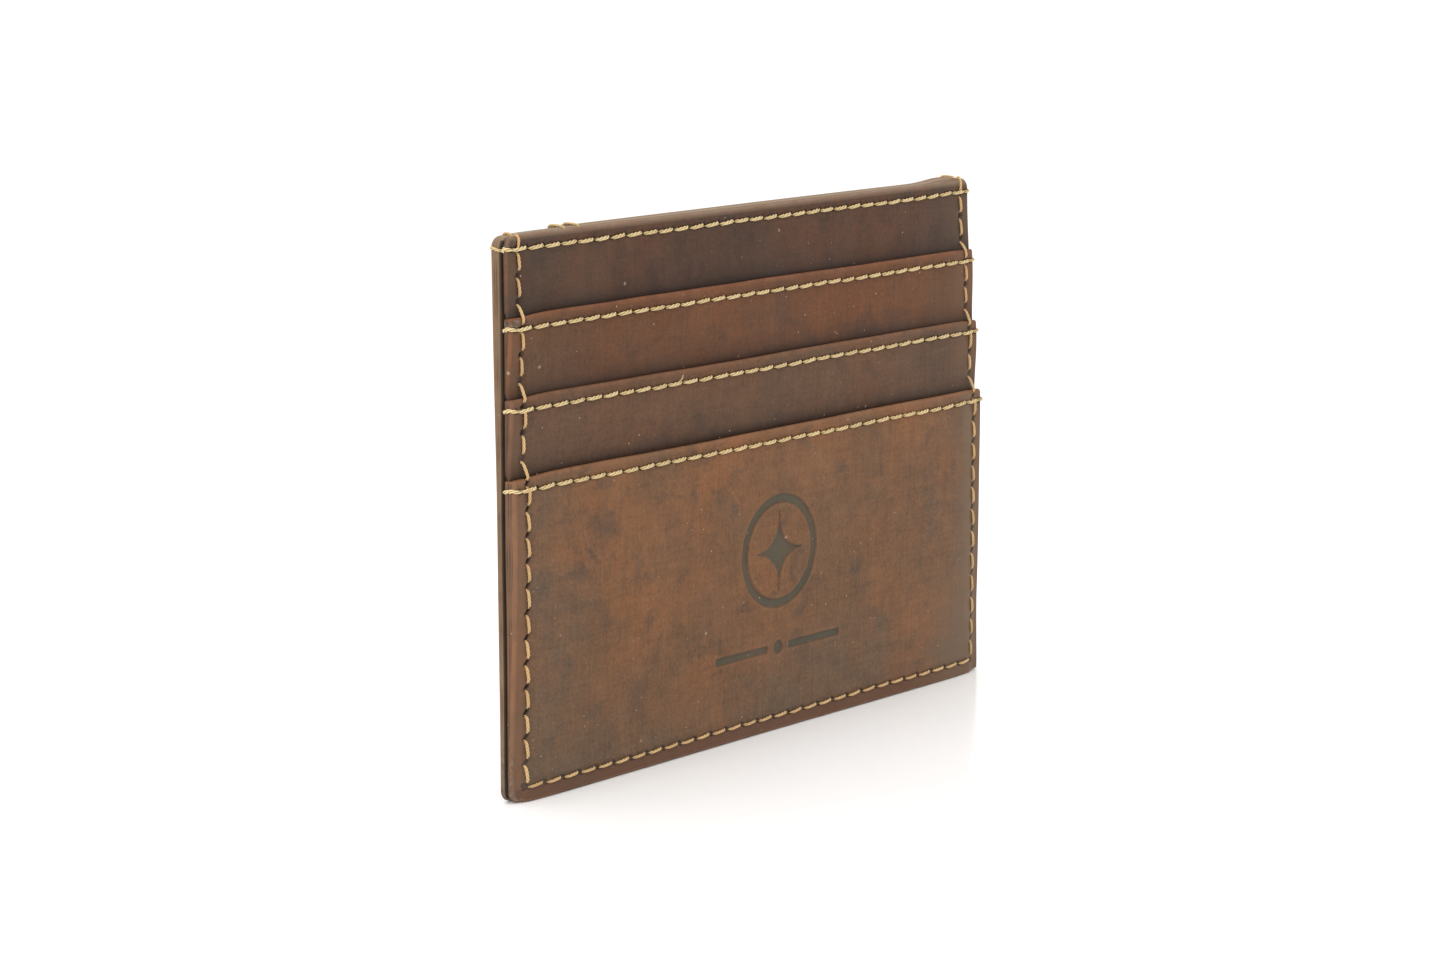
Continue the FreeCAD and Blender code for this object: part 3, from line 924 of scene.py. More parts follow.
def cloudy(m, at, base, warm, shadow, light, mottle):
    """The hide's own clouds of tone, and the clouds themselves."""
    clouds = m.noise(17.0, 4.0, 0.58, at, 0.4)
    blotches = m.noise(6.0, 5.0, 0.62, at, 0.8)
    pale = m.noise(24.0, 3.0, 0.5, at, 0.2)
    colour = m.mix(m.fit(clouds, 0.36, 0.66, 0.0, mottle), base, warm)
    colour = m.mix(m.fit(blotches, 0.52, 0.7, 0.0, 0.74 * mottle), colour, shadow)
    return m.mix(m.fit(pale, 0.56, 0.78, 0.0, 0.4 * mottle), colour, light), clouds


def leather_skin(m, fibres):
    """Pores, fine lumps and fibres as bump."""
    pores = m.new("ShaderNodeTexVoronoi", feature="SMOOTH_F1")
    m.feed(pores.inputs["Vector"], m.place)
    pores.inputs["Scale"].default_value = 1.0 / (0.36 * MM)
    skin = m.bump(pores.outputs["Distance"], 0.35, 0.03)
    skin = m.bump(m.noise(1.9, 4.0, 0.6), 0.45, 0.06, skin)
    return m.bump(fibres, 0.35, 0.025, skin)


def leather_dust(m):
    fine = m.math("MULTIPLY", m.specks(1.7, 0.12), m.fit(m.noise(3.0), 0.44, 0.6, 0.0, 0.8))
    return m.math("MAXIMUM", fine, m.math("MULTIPLY", m.specks(7.0, 0.3), 0.4))


def leather_material(name, base, warm, shadow, light, spark, rim_tone, fade_tone, mottle, seed):
    """Waxed pull-up leather: cloudy tones, fine fibres, pores, dust and worn edges, with painted
    highlights on edges and lips and painted shade in holes, folds and above the lips.
    """
    m = Shader(name)
    polish_and_highlight_tone = [0.5 * (a + b) for a, b in zip(light, fade_tone)]
    shift = m.new("ShaderNodeMapping")
    m.feed(shift.inputs["Vector"], m.place)
    shift.inputs["Location"].default_value = (seed, 0.37 * seed, 0.71 * seed)
    at = shift.outputs["Vector"]
    colour, clouds = cloudy(m, at, base, warm, shadow, light, mottle)
    colour = m.stain(colour, "fade", m.fit(clouds, 0.35, 0.65, 0.85, 0.35), fade_tone)
    upright = m.noise(0.55, 5.0, 0.65, m.scaled(1.0, 1.0, 0.05))
    level = m.noise(0.6, 5.0, 0.65, m.scaled(0.06, 1.0, 1.0))
    fibres = m.math("ADD", m.fit(upright, 0.35, 0.65, -0.5, 0.5),
                    m.fit(level, 0.35, 0.65, -0.4, 0.4))
    patches = m.fit(m.noise(2.4, 4.0, 0.62, at), 0.3, 0.7, -0.1, 0.1)
    value = m.math("ADD", m.math("MULTIPLY", fibres, 0.15), patches)
    value = m.math("ADD", value, m.fit(m.noise(0.42, 3.0, 0.65), 0.3, 0.7, 0.81, 1.19))
    colour = m.mix(1.0, colour, m.grey(value), "MULTIPLY")
    sparks = m.fit(m.noise(0.9, 3.0, 0.7, at), 0.6, 0.72, 0.0, 0.55)
    colour = m.mix(m.math("MULTIPLY", sparks, m.fit(clouds, 0.42, 0.6)), colour, spark)
    rim_share = m.fit(m.noise(7.0, 3.0, 0.6), 0.3, 0.7, 0.35, 0.85)
    colour = m.stain(colour, "rim", rim_share, rim_tone)
    colour = m.stain(colour, "deep", 0.5, tone(78, 48, 33))
    # Polish, and a painted highlight beside the right seam.
    colour = m.mix(m.attribute("polish_and_highlight"), colour, polish_and_highlight_tone)
    # Painted shade in the wall folds and in the crease round the pressed mark.
    colour = m.stain(colour, "crease_shade", 0.75, tone(28, 20, 15))
    # A painted highlight along the top edge, where it faces the light.
    top_edge_highlight = m.fit(m.up(), (height - 0.8) * MM, (height - 0.1) * MM, 0.0, 0.6)
    colour = m.mix(top_edge_highlight, colour, tone(146, 126, 104))
    wear_and_highlight_share = m.fit(m.noise(2.6, 3.0, 0.6), 0.35, 0.62, 0.15, 0.62)
    # Wear with a painted highlight on the rounded edges and along the lips.
    colour = m.stain(colour, "wear_and_highlight", wear_and_highlight_share, m.mix(0.4, light, spark))
    flecks = m.fit(m.noise(0.5, 3.0, 0.7), 0.5, 0.62, 0.25, 0.9)
    grey_share = m.fit(m.noise(0.8, 4.0, 0.7), 0.42, 0.62)
    grey = m.mix(grey_share, tone(54, 50, 44), tone(126, 120, 108))
    colour = m.stain(colour, "scuff", flecks, grey)
    # Painted shadow above each lip, painted shade in the needle holes and the leaves' gap, then the
    # pressed mark's own darker tone.
    for key, share, paint in (("painted_shade", 0.72, tone(26, 17, 12)), ("dark", 0.96, tone(12, 7, 4)),
                              ("pressed", 0.74, tone(68, 71, 59))):
        colour = m.stain(colour, key, share, paint)
    colour = m.mix(leather_dust(m), colour, tone(196, 180, 152))
    rough = m.fit(m.noise(9.0, 4.0, 0.6), 0.3, 0.7, 0.47, 0.62)
    rough = m.math("MAXIMUM", rough, m.attribute("dark"))
    return m.finish(colour, rough, leather_skin(m, fibres), Specular_IOR_Level=0.26)


def thread_material(name, pale, deep, painted_shade):
    """Waxed polyester thread: twisted strands, slightly different from stitch to stitch, with
    painted shade between the strands.
    """
    m = Shader(name)
    fuzz = m.noise(0.13, 3.0, 0.7)
    share = m.math("ADD", m.fit(m.attribute("tint"), 0.0, 1.0, 0.0, 0.45),
                   m.fit(fuzz, 0.3, 0.7, 0.0, 0.5))
    colour = m.mix(share, pale, deep)
    colour = m.stain(colour, "crevice_shade", 0.8, painted_shade)
    return m.finish(colour, m.fit(fuzz, 0.3, 0.7, 0.5, 0.72), m.bump(fuzz, 0.5, 0.03),
                    Sheen_Weight=0.12)


def fabric_material(name, base, deep, yarn=0.32):
    """Thin woven lining: warp and weft threads, slubs and a soft sheen."""
    m = Shader(name)
    warp = m.new("ShaderNodeTexWave", bands_direction="X")
    weft = m.new("ShaderNodeTexWave", bands_direction="Z")
    for made in (warp, weft):
        m.feed(made.inputs["Vector"], m.place)
        made.inputs["Scale"].default_value = 1.0 / (yarn * MM) / 3.2
        made.inputs["Distortion"].default_value = 0.6
        made.inputs["Detail"].default_value = 2.0
    weave = m.math("MAXIMUM", warp.outputs["Fac"], weft.outputs["Fac"])
    slub = m.noise(1.8, 4.0, 0.6, m.scaled(0.3, 1.0, 1.0))
    share = m.math("ADD", m.fit(weave, 0.3, 1.0, 0.5, 0.0), m.fit(slub, 0.3, 0.7, 0.0, 0.5))
    return m.finish(m.mix(share, base, deep), m.fit(weave, 0.0, 1.0, 0.9, 0.7),
                    m.bump(weave, 0.6, 0.05), Sheen_Weight=0.2)


def film_material(name):
    """Metallised shielding film: crinkled and dull silver."""
    m = Shader(name)
    crinkle = m.noise(4.0, 6.0, 0.7, None, 1.5)
    colour = m.mix(m.fit(crinkle, 0.3, 0.7), tone(150, 150, 148), tone(190, 190, 186))
    return m.finish(colour, m.fit(crinkle, 0.3, 0.7, 0.28, 0.5), m.bump(crinkle, 0.6, 0.2),
                    Metallic=0.85)


def clear_material(name):
    """Soft clear window plastic with faint waves and scuffs."""
    m = Shader(name)
    waves = m.noise(9.0, 3.0, 0.5)
    scuffs = m.noise(0.8, 5.0, 0.7, m.scaled(1.0, 1.0, 0.15))
    rough = m.fit(scuffs, 0.5, 0.75, 0.05, 0.3)
    colour = m.mix(m.fit(scuffs, 0.45, 0.75), tone(246, 248, 244), tone(226, 230, 226))
    return m.finish(colour, rough, m.bump(waves, 0.35, 0.3), Transmission_Weight=0.94, IOR=1.45)


def floor_material():
    """White gloss board, very slightly uneven."""
    m = Shader("white_board")
    drift = m.noise(120.0, 2.0, 0.5)
    colour = m.mix(m.fit(drift, 0.3, 0.7), tone(250, 250, 248), tone(253, 253, 253))
    return m.finish(colour, m.fit(m.noise(3.0, 3.0), 0.3, 0.7, 0.14, 0.2),
                    Specular_IOR_Level=0.3)


hides = {
    "band": ((72, 48, 33), (88, 54, 34), (50, 39, 30), (108, 80, 58), (118, 62, 36), (90, 68, 50),
             (66, 52, 41)),
    "upper": ((90, 57, 34), (102, 61, 32), (70, 49, 34), (124, 86, 60), (132, 68, 36),
              (108, 74, 50), (88, 63, 42)),
    "middle": ((88, 62, 43), (100, 66, 41), (68, 51, 38), (120, 90, 66), (126, 70, 40),
               (102, 74, 54), (84, 65, 50)),
    "panel": ((103, 73, 48), (121, 79, 47), (76, 60, 46), (126, 96, 70), (138, 82, 46),
              (113, 80, 57), (89, 74, 59)),
    "back": ((100, 72, 49), (114, 76, 47), (74, 57, 42), (136, 110, 84), (134, 76, 42),
             (132, 108, 82), (88, 70, 54)),
    "frame": ((98, 68, 45), (114, 73, 42), (70, 54, 39), (126, 96, 70), (136, 76, 42),
              (92, 60, 42), (84, 66, 50)),
    "binding": ((78, 54, 37), (94, 60, 38), (56, 43, 32), (114, 86, 62), (124, 68, 38),
                (80, 54, 38), (70, 54, 42)),
}


def hide(name, mottle, seed):
    return leather_material(name + "_hide", *(tone(*t) for t in hides[name]), mottle, seed)


band_hide = hide("band", 0.8, 0.9)
upper_hide = hide("upper", 0.9, 1.7)
middle_hide = hide("middle", 0.8, 2.3)
panel_hide = hide("panel", 1.0, 3.1)
back_hide = hide("back", 0.9, 4.6)
frame_hide = hide("frame", 1.0, 5.2)
binding_hide = hide("binding", 0.8, 6.4)
row_thread = thread_material("straw_thread", tone(228, 205, 152), tone(196, 168, 114),
                             tone(110, 82, 46))
seam_thread = thread_material("tan_thread", tone(227, 190, 132), tone(193, 154, 101),
                              tone(100, 70, 38))
hidden_thread = thread_material("inner_thread", tone(110, 92, 70), tone(86, 70, 52),
                                tone(50, 40, 30))
lining_cloth = fabric_material("lining_cloth", tone(86, 66, 52), tone(60, 46, 37))
centre_cloth = fabric_material("centre_cloth", tone(74, 60, 50), tone(52, 42, 35))
backing_cloth = fabric_material("backing_cloth", tone(196, 190, 178), tone(168, 160, 148), 0.6)
shield_foil = film_material("shield_foil")
window_plastic = clear_material("window_plastic")


# Pieces

def mount(piece, node):
    """Every piece rides on the one body and stands for its CAD node."""
    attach(piece, BODY)
    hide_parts(node)
    return piece


def strip_rows(strip, *above):
    """Rows of a strip: coarse where it is hidden, then plain, then those given from its row up."""
    step = strip.bare - 0.05
    row = strip.lip - row_inset
    stretches = [(strip.low, step, 1.2), (step, strip.bare, 0.05), (strip.bare, row - 0.7, 0.6)]
    return side_rows(stretches + list(above))


def row_columns(strip, more=(), fine=None):
    return face_columns(0.6, list(front_rows[strip.name][:, 0]) + list(more), fine)


def side_rows(stretches):
    return focused(places(*stretches), front_left[:, 1], 0.42, 0.2)


def band_piece():
    row = band.lip - row_inset
    zs = strip_rows(band, (row - 0.7, height - corner, 0.13))
    seams = [(front_rows["band"], row_hole)] + front_seams
    panel = TurnedPanel(-1, row_columns(band), zs, band.depth, band.leather, seams,
                        top_edge=True, strip=band, seed=1)
    return mount(panel.build("leather_top_band", band_hide), "front_top_band")


def pocket_piece(strip, material, node, seed):
    row, top = strip.lip - row_inset, strip.lip - strip.lip_thickness / 2
    zs = strip_rows(strip, (row - 0.7, row + 0.7, 0.13), (row + 0.7, top, 0.3))
    seams = [(front_rows[strip.name], row_hole)] + front_seams
    panel = TurnedPanel(-1, row_columns(strip), zs, strip.depth, strip.leather, seams,
                        strip=strip, seed=seed)
    return mount(panel.build("leather_" + strip.name + "_pocket", material), node)


def lower_piece():
    row = lower.lip - row_inset
    top = lower.lip - lower.lip_thickness / 2
    mark_low, mark_high = rule_z - 1.5, mark_z + ring_radius + 1.2
    stretches = [(corner, seam_bottom + 0.7, 0.14), (seam_bottom + 0.7, mark_low, 0.6),
                 (mark_low, mark_high, 0.2), (mark_high, row - 0.7, 0.6),
                 (row - 0.7, row + 0.7, 0.13), (row + 0.7, top, 0.3)]
    mark_left, mark_right = mark_x - rule_half - 1.5, mark_x + rule_half + 1.5
    xs = row_columns(lower, front_bottom[:, 0], (mark_left, mark_right, 0.2))
    zs = side_rows(stretches)
    seams = [(front_rows["lower"], row_hole)] + front_seams
    panel = TurnedPanel(-1, xs, zs, lower.depth, lower.leather, seams, bottom_edge=True,
                        strip=lower, mark=True, seed=4)
    piece = panel.build("leather_lower_pocket", panel_hide)
    return mount(piece, "lower_pocket_front")


back_seams = [(holes, seam_hole) for holes in (back_left, back_bottom_left, back_row_left)]
frame_seams = [(holes, seam_hole) for holes in
               [back_right, back_bottom_right, back_row_right] + window_sides]


def back_piece():
    zs = places((corner, seam_bottom + 1.0, 0.25), (seam_bottom + 1.0, seam_top - 1.0, 0.35),
                (seam_top - 1.0, height - corner, 0.22))
    xs = places((-half + corner, -47.0, 0.22), (-47.0, -34.0, 0.4), (-34.0, half - corner, 1.6))
    panel = TurnedPanel(1, xs, zs, back_depth, lambda z: np.full_like(z, 1.0), back_seams,
                        bottom_edge=True, top_edge=True, hem=back_hem, groove=0.09, seed=6)
    return mount(panel.build("leather_back_panel", back_hide), "back_panel")


# The window frame: rings round the window, from its cut edge out over the turned outer edge

window_overlap = 5.0
window_low_x = film_low[0] + window_overlap
window_high_x = window_row_high[0] - 2.0 - seam_radius
window_low_z = film_low[2] + window_overlap
window_high_z = film_high[2] - window_overlap
window_corner = 4.0
frame_leather = 0.6
free_edge = binding_low[0] + 0.42


side_counts, arc_count = (190, 260, 190, 260), 14


def rounded_box(low_x, high_x, low_z, high_z, radius):
    """Points round a rectangle with round corners, the same number on each call."""
    radius = max(radius, 0.02)
    xs, zs = [], []
    corners = [(high_x - radius, low_z + radius, -90), (high_x - radius, high_z - radius, 0),
               (low_x + radius, high_z - radius, 90), (low_x + radius, low_z + radius, 180)]
    for cx, cz, start in corners:
        turn = np.radians(start + np.linspace(0, 90, arc_count))
        xs.append(cx + radius * np.cos(turn))
        zs.append(cz + radius * np.sin(turn))
    points = []
    for k in range(4):
        here = np.stack([xs[k], zs[k]], 1)
        there = np.array([xs[(k + 1) % 4][0], zs[(k + 1) % 4][0]])
        t = np.linspace(0, 1, side_counts[k] + 1)[1:-1, None]
        points += [here, here[-1] + t * (there - here[-1])]
    return np.concatenate(points)


def frame_section():
    """(kind, offset, share of thickness, extra) from the window's edge round to its back."""
    section = [("window", 0.0, 0.0, 0.25), ("window", 0.04, 0.0, 0.1), ("window", 0.15, 0.0, 0.02)]
    section += [("window", d, 0.0, 0.0) for d in np.arange(0.4, 3.5, 0.22)]
    section += [("blend", t, 0.0, 0.0) for t in np.linspace(0.0, 1.0, 14)[1:]]
    section += [("outer", a, 0.0, 0.0) for a in np.arange(3.4, 0.9, -0.22)]
    for inset, share, extra in section_levels()[2:-2]:
        section.append(("outer", inset, share, extra))
    return section


def frame_point(kind, offset):
    if kind == "window":
        return rounded_box(window_low_x - offset, window_high_x + offset, window_low_z - offset,
                           window_high_z + offset, window_corner + offset)
    if kind == "outer":
        return rounded_box(free_edge + offset, half - offset, offset, height - offset,
                           corner - offset)
    near = frame_point("window", 3.6)
    return near + offset * (frame_point("outer", 3.6) - near)


def frame_ring(kind, offset):
    """One ring's places, and its face: a step lower where it lies in the binding."""
    spot = frame_point(kind, offset)
    x, z = spot[:, 0], spot[:, 1]
    return x, z, frame_depth(x, z) - 0.24 * smooth((binding_right + 0.3 - x) / 0.6)


def frame_line(x, y, z):
    return np.stack([x, y + back_bend(x, z), z + top_rise(x, z)], 1)


def frame_piece():
    rings, recess_shades, wear_and_highlights = [], [], []
    for kind, offset, share, extra in frame_section():
        x, z, face = frame_ring(kind, offset)
        # The needle holes get painted shade.
        sink, dark = sewn(x, z, frame_seams, 0.3, 0.16)
        back = share * (face - back_face) + extra
        if kind == "window":
            back = np.full_like(x, extra)
        back = np.where(x < binding_right, np.minimum(back, 0.34), back)
        plain_face = (share == 0) & (extra < 0.02)
        rings.append(frame_line(x, face - (sink if plain_face else 0 * sink) - back, z))
        # The round outer edge and the window's cut edge are paler: wear with a painted highlight.
        edge_wear_and_highlight = 0.02 < extra if kind == "outer" else kind == "window" and offset < 0.3
        wear_and_highlights.append(np.full_like(x, 0.8 if edge_wear_and_highlight else 0.0))
        recess_shades.append(dark)
    inner = (("outer", hem_reach, 1.0), ("outer", hem_reach, 0.5), ("window", 3.6, 0.5),
             ("window", 0.0, 0.5))
    for kind, offset, share in inner:
        x, z, face = frame_ring(kind, offset)
        y = np.where(share == 1.0, back_face, face - frame_leather)
        rings.append(frame_line(x, np.where(x < binding_right, face - 0.36, y), z))
        wear_and_highlights.append(np.zeros_like(x))
        recess_shades.append(np.zeros_like(x))
    points = np.stack(rings, 1)
    ids = np.arange(points.size // 3).reshape(points.shape[:2])
    ids = np.concatenate([ids, ids[:1]], 0)
    ids = np.concatenate([ids, ids[:, :1]], 1)
    attributes = {"dark": np.stack(recess_shades, 1).ravel(), "wear_and_highlight": np.stack(wear_and_highlights, 1).ravel()}
    piece = make_piece("leather_window_frame", points.reshape(-1, 3), grid_quads(ids), frame_hide,
                       attributes)
    return mount(piece, "id_window_frame")


# The binding: one strip folded round the frame's free edge

binding_face = 2.9
binding_ply = 2.5
binding_inner = 1.8
binding_top = height + 0.05


def binding_depth(x, z):
    crown = 0.06 * smooth((x - binding_low[0]) / 0.8) * smooth((binding_right - x) / 0.8)
    return binding_face - 0.06 + crown + 0.04 * wander(z, 61, 19.0)


def binding_section():
    """Points (x, depth, on face) of the folded strip, all the way round."""
    left, right = binding_low[0], binding_right
    face = [(right - 0.02, 0.12, 0), (right - 0.08, 0.02, 0)]
    face += [(x, 0.0, 1) for x in np.linspace(right - 0.25, left + 0.5, 17)]
    middle_y = (binding_face - binding_inner) / 2
    fold = []
    for degrees in range(90, 271, 15):
        turn = math.radians(degrees)
        fold.append((left + 0.5 + 0.5 * math.cos(turn), middle_y - middle_y * math.sin(turn), 0))
    back = [(x, 2 * middle_y, 0) for x in np.linspace(left + 1.0, right, 5)]
    inside = [(x, 2 * middle_y - 0.26, 0) for x in np.linspace(right, left + 0.9, 5)]
    pocket = [(left + 0.45, 2 * middle_y - 0.35, 0), (left + 0.42, middle_y, 0),
              (left + 0.45, 0.48, 0), (left + 0.9, binding_face - binding_ply, 0),
              (right - 0.02, binding_face - binding_ply, 0)]
    return face + fold + back + inside + pocket


def binding_piece():
    top = binding_top
    z = np.array(places((0.05, 0.25, 0.1), (0.25, top - 0.3, 0.3), (top - 0.3, top, 0.1)))
    columns, recess_shades, wear_and_highlight = [], [], []
    seams = [(rows, seam_hole) for rows in binding_rows]
    for x, back, on_face in binding_section():
        xs = np.full_like(z, x) + 0.06 * wander(z, 62, 33.0)
        end = bell(z - top, 0.12) + bell(z - z[0], 0.12)
        # The needle holes get painted shade.
        sink, dark = sewn(xs, z, seams, 0.26, 0.12)
        sink = sink if on_face else 0 * sink
        shrink = 0.06 * end * (1 if back < 0.2 else 0)
        y = binding_depth(xs, z) - back - sink - shrink + back_bend(xs, z)
        columns.append(np.stack([xs, y, z], 1))
        recess_shades.append(dark * (1 if on_face else 0))
        # The ends and the folded edge are paler: wear with a painted highlight.
        wear_and_highlight.append(np.clip(end, 0, 1) + (0.6 if 0.02 < back < 0.3 else 0.0))
    points = np.stack(columns, 1)
    ids = np.arange(points.size // 3).reshape(points.shape[:2])
    faces = grid_quads(np.concatenate([ids, ids[:, :1]], 1))
    faces += [[int(v) for v in ids[row]] for row in (0, -1)]
    attributes = {"dark": np.stack(recess_shades, 1).ravel(),
                  "wear_and_highlight": np.clip(np.stack(wear_and_highlight, 1).ravel(), 0, 1)}
    piece = make_piece("leather_entry_binding", points.reshape(-1, 3), faces, binding_hide,
                       attributes)
    return mount(piece, "id_entry_binding")


# Flat sheets: linings, interlining, shields and the window

def sheet_piece(name, material, side, low, high, depth, thickness, spacing=1.2):
    """A thin sheet with a small wave that follows the leaf it lies in."""
    xs = np.array(places((low[0], high[0], spacing)))
    zs = np.array(places((low[1], high[1], spacing)))
    x, z = np.meshgrid(xs, zs, indexing="ij")
    face = depth(x, z)
    bend = bend_of(side)(x, z)
    outer = np.stack([x, side * face + bend, z], 2)
    inner = np.stack([x, side * (face - thickness) + bend, z], 2)
    m, n = x.shape
    ids = np.arange(m * n).reshape(m, n)
    back = ids + m * n
    faces = grid_quads(ids) + grid_quads(back, True)
    for row, other in ((ids[0], back[0]), (ids[-1], back[-1]),
                       (ids[:, 0], back[:, 0]), (ids[:, -1], back[:, -1])):
        faces += grid_quads(np.stack([row, other], 1))
    points = np.concatenate([outer.reshape(-1, 3), inner.reshape(-1, 3)])
    return make_piece(name, points, faces, material)


def sunk(x, amount=0.25):
    """Layers inside a leaf are pressed thinner towards its side seams."""
    return 1.0 - amount * bell(half - np.abs(x), 4.5)


def step_up(z, start, end):
    return smooth((z - start) / (end - start))


def upper_lining_depth(x, z):
    return (0.64 + 0.45 * step_up(z, 54.5, 58.1)) * sunk(x) + upper.opened(x, z)


def middle_lining_depth(x, z):
    base = 0.78 + 0.45 * step_up(z, 44.0, 47.4)
    return base * sunk(x) + upper.opened(x, z) + middle.opened(x, z)


def lower_lining_depth(x, z):
    base = 0.9 + 0.46 * step_up(z, 33.5, 36.9)
    behind = upper.opened(x, z) + middle.opened(x, z)
    return base * sunk(x) + behind + 0.9 * lower.opened(x, z)


def lining_pieces():
    for name, node, depth, strip in (
        ("cloth_upper_lining", "upper_pocket_lining", upper_lining_depth, upper),
        ("cloth_middle_lining", "middle_pocket_lining", middle_lining_depth, middle),
        ("cloth_lower_lining", "lower_pocket_lining", lower_lining_depth, lower),
    ):
        box_low, box_high = node_box(node)
        bar_half = box_high[0]
        tongue_half = 46.0 if strip is not lower else bar_half
        shoulder = strip.lip - 12.0
        low_z, high_z = box_low[2], strip.lip - 0.9
        piece = tongue_piece(name, lining_cloth, depth, bar_half, tongue_half, shoulder, low_z,
                             high_z, 0.1)
        drop_loose(piece)
        mount(piece, node)


def tongue_piece(name, material, depth, bar_half, tongue_half, shoulder, low_z, high_z, thickness):
    """A pocket lining: a bar as wide as the pocket with a narrower tongue below."""
    xs = np.array(places((-bar_half, -tongue_half, 1.2), (-tongue_half, tongue_half, 1.2),
                         (tongue_half, bar_half, 1.2)))
    if tongue_half >= bar_half:
        xs = np.array(places((-bar_half, bar_half, 1.2)))
    zs = np.array(places((low_z, shoulder, 1.2), (shoulder, high_z, 0.8)))
    x, z = np.meshgrid(xs, zs, indexing="ij")
    cell_x = 0.5 * (xs[1:] + xs[:-1])[:, None]
    cell_z = 0.5 * (zs[1:] + zs[:-1])[None, :]
    solid = (np.abs(cell_x) < tongue_half) | (cell_z > shoulder)
    face = depth(x, z)
    bend = front_bend(x, z)
    outer = np.stack([x, -face + bend, z], 2).reshape(-1, 3)
    inner = np.stack([x, -(face - thickness) + bend, z], 2).reshape(-1, 3)
    ids = np.arange(x.size).reshape(x.shape)
    faces = []
    m, n = solid.shape
    for i in range(m):
        for j in range(n):
            if not solid[i, j]:
                continue
            quad = [ids[i, j], ids[i + 1, j], ids[i + 1, j + 1], ids[i, j + 1]]
            faces.append([int(v) for v in quad])
            faces.append([int(v) + x.size for v in quad[::-1]])
            around = ((i - 1, j, 3, 0), (i, j - 1, 0, 1), (i + 1, j, 1, 2), (i, j + 1, 2, 3))
            for a, b, p, q in around:
                if a < 0 or b < 0 or a >= m or b >= n or not solid[a, b]:
                    edge = (int(quad[p]), int(quad[q]))
                    faces.append([edge[1], edge[0], edge[0] + x.size, edge[1] + x.size])
    return make_piece(name, np.concatenate([outer, inner]), faces, material, weld=False)


def drop_loose(piece):
    """Takes away the grid points beside the tongue, which no face uses."""
    bm = bmesh.new()
    bm.from_mesh(piece.data)
    bmesh.ops.delete(bm, geom=[v for v in bm.verts if not v.link_faces], context="VERTS")
    bm.to_mesh(piece.data)
    bm.free()


def core_pieces():
    """The flat sheets between the hems of each leaf."""
    rows = (
        ("cloth_front_lining", "front_lining", centre_cloth, "centre_lining", -1, True),
        ("cloth_front_base", "front_base_lining", lining_cloth, "lining_fabric", -1, True),
        ("foil_front_shield", "rfid_shield_front", shield_foil, "shield_film", -1, False),
        ("cloth_back_lining", "back_lining", centre_cloth, "centre_lining", 1, True),
        ("cloth_back_interlining", "back_interlining", backing_cloth, "interlining", 1, True),
        ("foil_back_shield", "rfid_shield_back", shield_foil, "shield_film", 1, False),
    )
    for name, node, material, slot, side, cloth in rows:
        low, high = node_box(node)
        outer = high[1] if side > 0 else -low[1]
        thickness = high[1] - low[1]
        piece = sheet_piece(name, material, side, (low[0], low[2]), (high[0], high[2]),
                            lambda x, z: np.full_like(x, outer), thickness)
        mount(piece, node)


def window_piece():
    def ripple(x, z):
        return film_high[1] - 0.06 + 0.05 * rumple(x, z, 71, 40.0)
    piece = sheet_piece("clear_window", window_plastic, 1, (film_low[0], film_low[2]),
                        (film_high[0], film_high[2]), ripple, film_high[1] - film_low[1], 0.8)
    return mount(piece, "id_window_sheet")


# Stitching

def over_rows(x, z):
    """The front with the row threads on it, for the seam that crosses them."""
    lifted = front_depth(x, z)
    for strip in strips:
        lifted = lifted + 0.3 * bell(z - strip.row_z(x), 0.3)
    return lifted


def laid(route, side):
    """A route of (x, depth, z) as a smooth line on its bent leaf."""
    points = resampled(route, 30)
    y = side * points[:, 1] + bend_of(side)(points[:, 0], points[:, 2])
    return np.stack([points[:, 0], y, points[:, 2]], 1)


def edge_wrap(x_side, z, side, face, radius, slant=0.15):
    """Thread from the last hole of a row round the side edge to the inner face."""
    out = x_side * (half + 0.55 * radius)
    depth_here = float(face(np.array([x_side * row_end]), np.array([z]))[0])
    return laid([
        (x_side * row_end, depth_here - 0.3, z),
        (x_side * (half - 0.75), depth_here + 0.05, z),
        (x_side * (half - 0.35), depth_here + 0.6 * radius, z + 0.3 * slant),
        (out, depth_here - 0.35, z + slant),
        (out, 0.5 * (depth_here + leaf_inner), z + 0.4 * slant),
        (out, leaf_inner + 0.35, z - 0.5 * slant),
        (x_side * (half - 0.25), leaf_inner - 0.02, z - slant),
        (x_side * row_end, leaf_inner + 0.05, z - slant),
    ], side)


def top_wrap(x, side, face, radius, top, start_z, drop=0.0):
    """Thread from the last hole under the top edge up over it and into the mouth."""
    depth_here = float(face(np.array([x]), np.array([start_z]))[0])
    top = top + float(top_rise(np.array([x]), np.array([height]))[0])
    over = top + 0.55 * radius
    return laid([
        (x, depth_here - 0.3, start_z),
        (x - 0.03, depth_here + 0.05, start_z + 0.2),
        (x, depth_here + 0.6 * radius, start_z + 0.7),
        (x + 0.05, depth_here + 0.3 * radius, top - 0.4),
        (x + 0.05, depth_here - 0.35, over),
        (x, leaf_inner + 0.35, over - drop),
        (x - 0.03, leaf_inner - 0.05, top - drop - 0.35),
        (x, leaf_inner + 0.05, top - drop - 1.4),
    ], side)


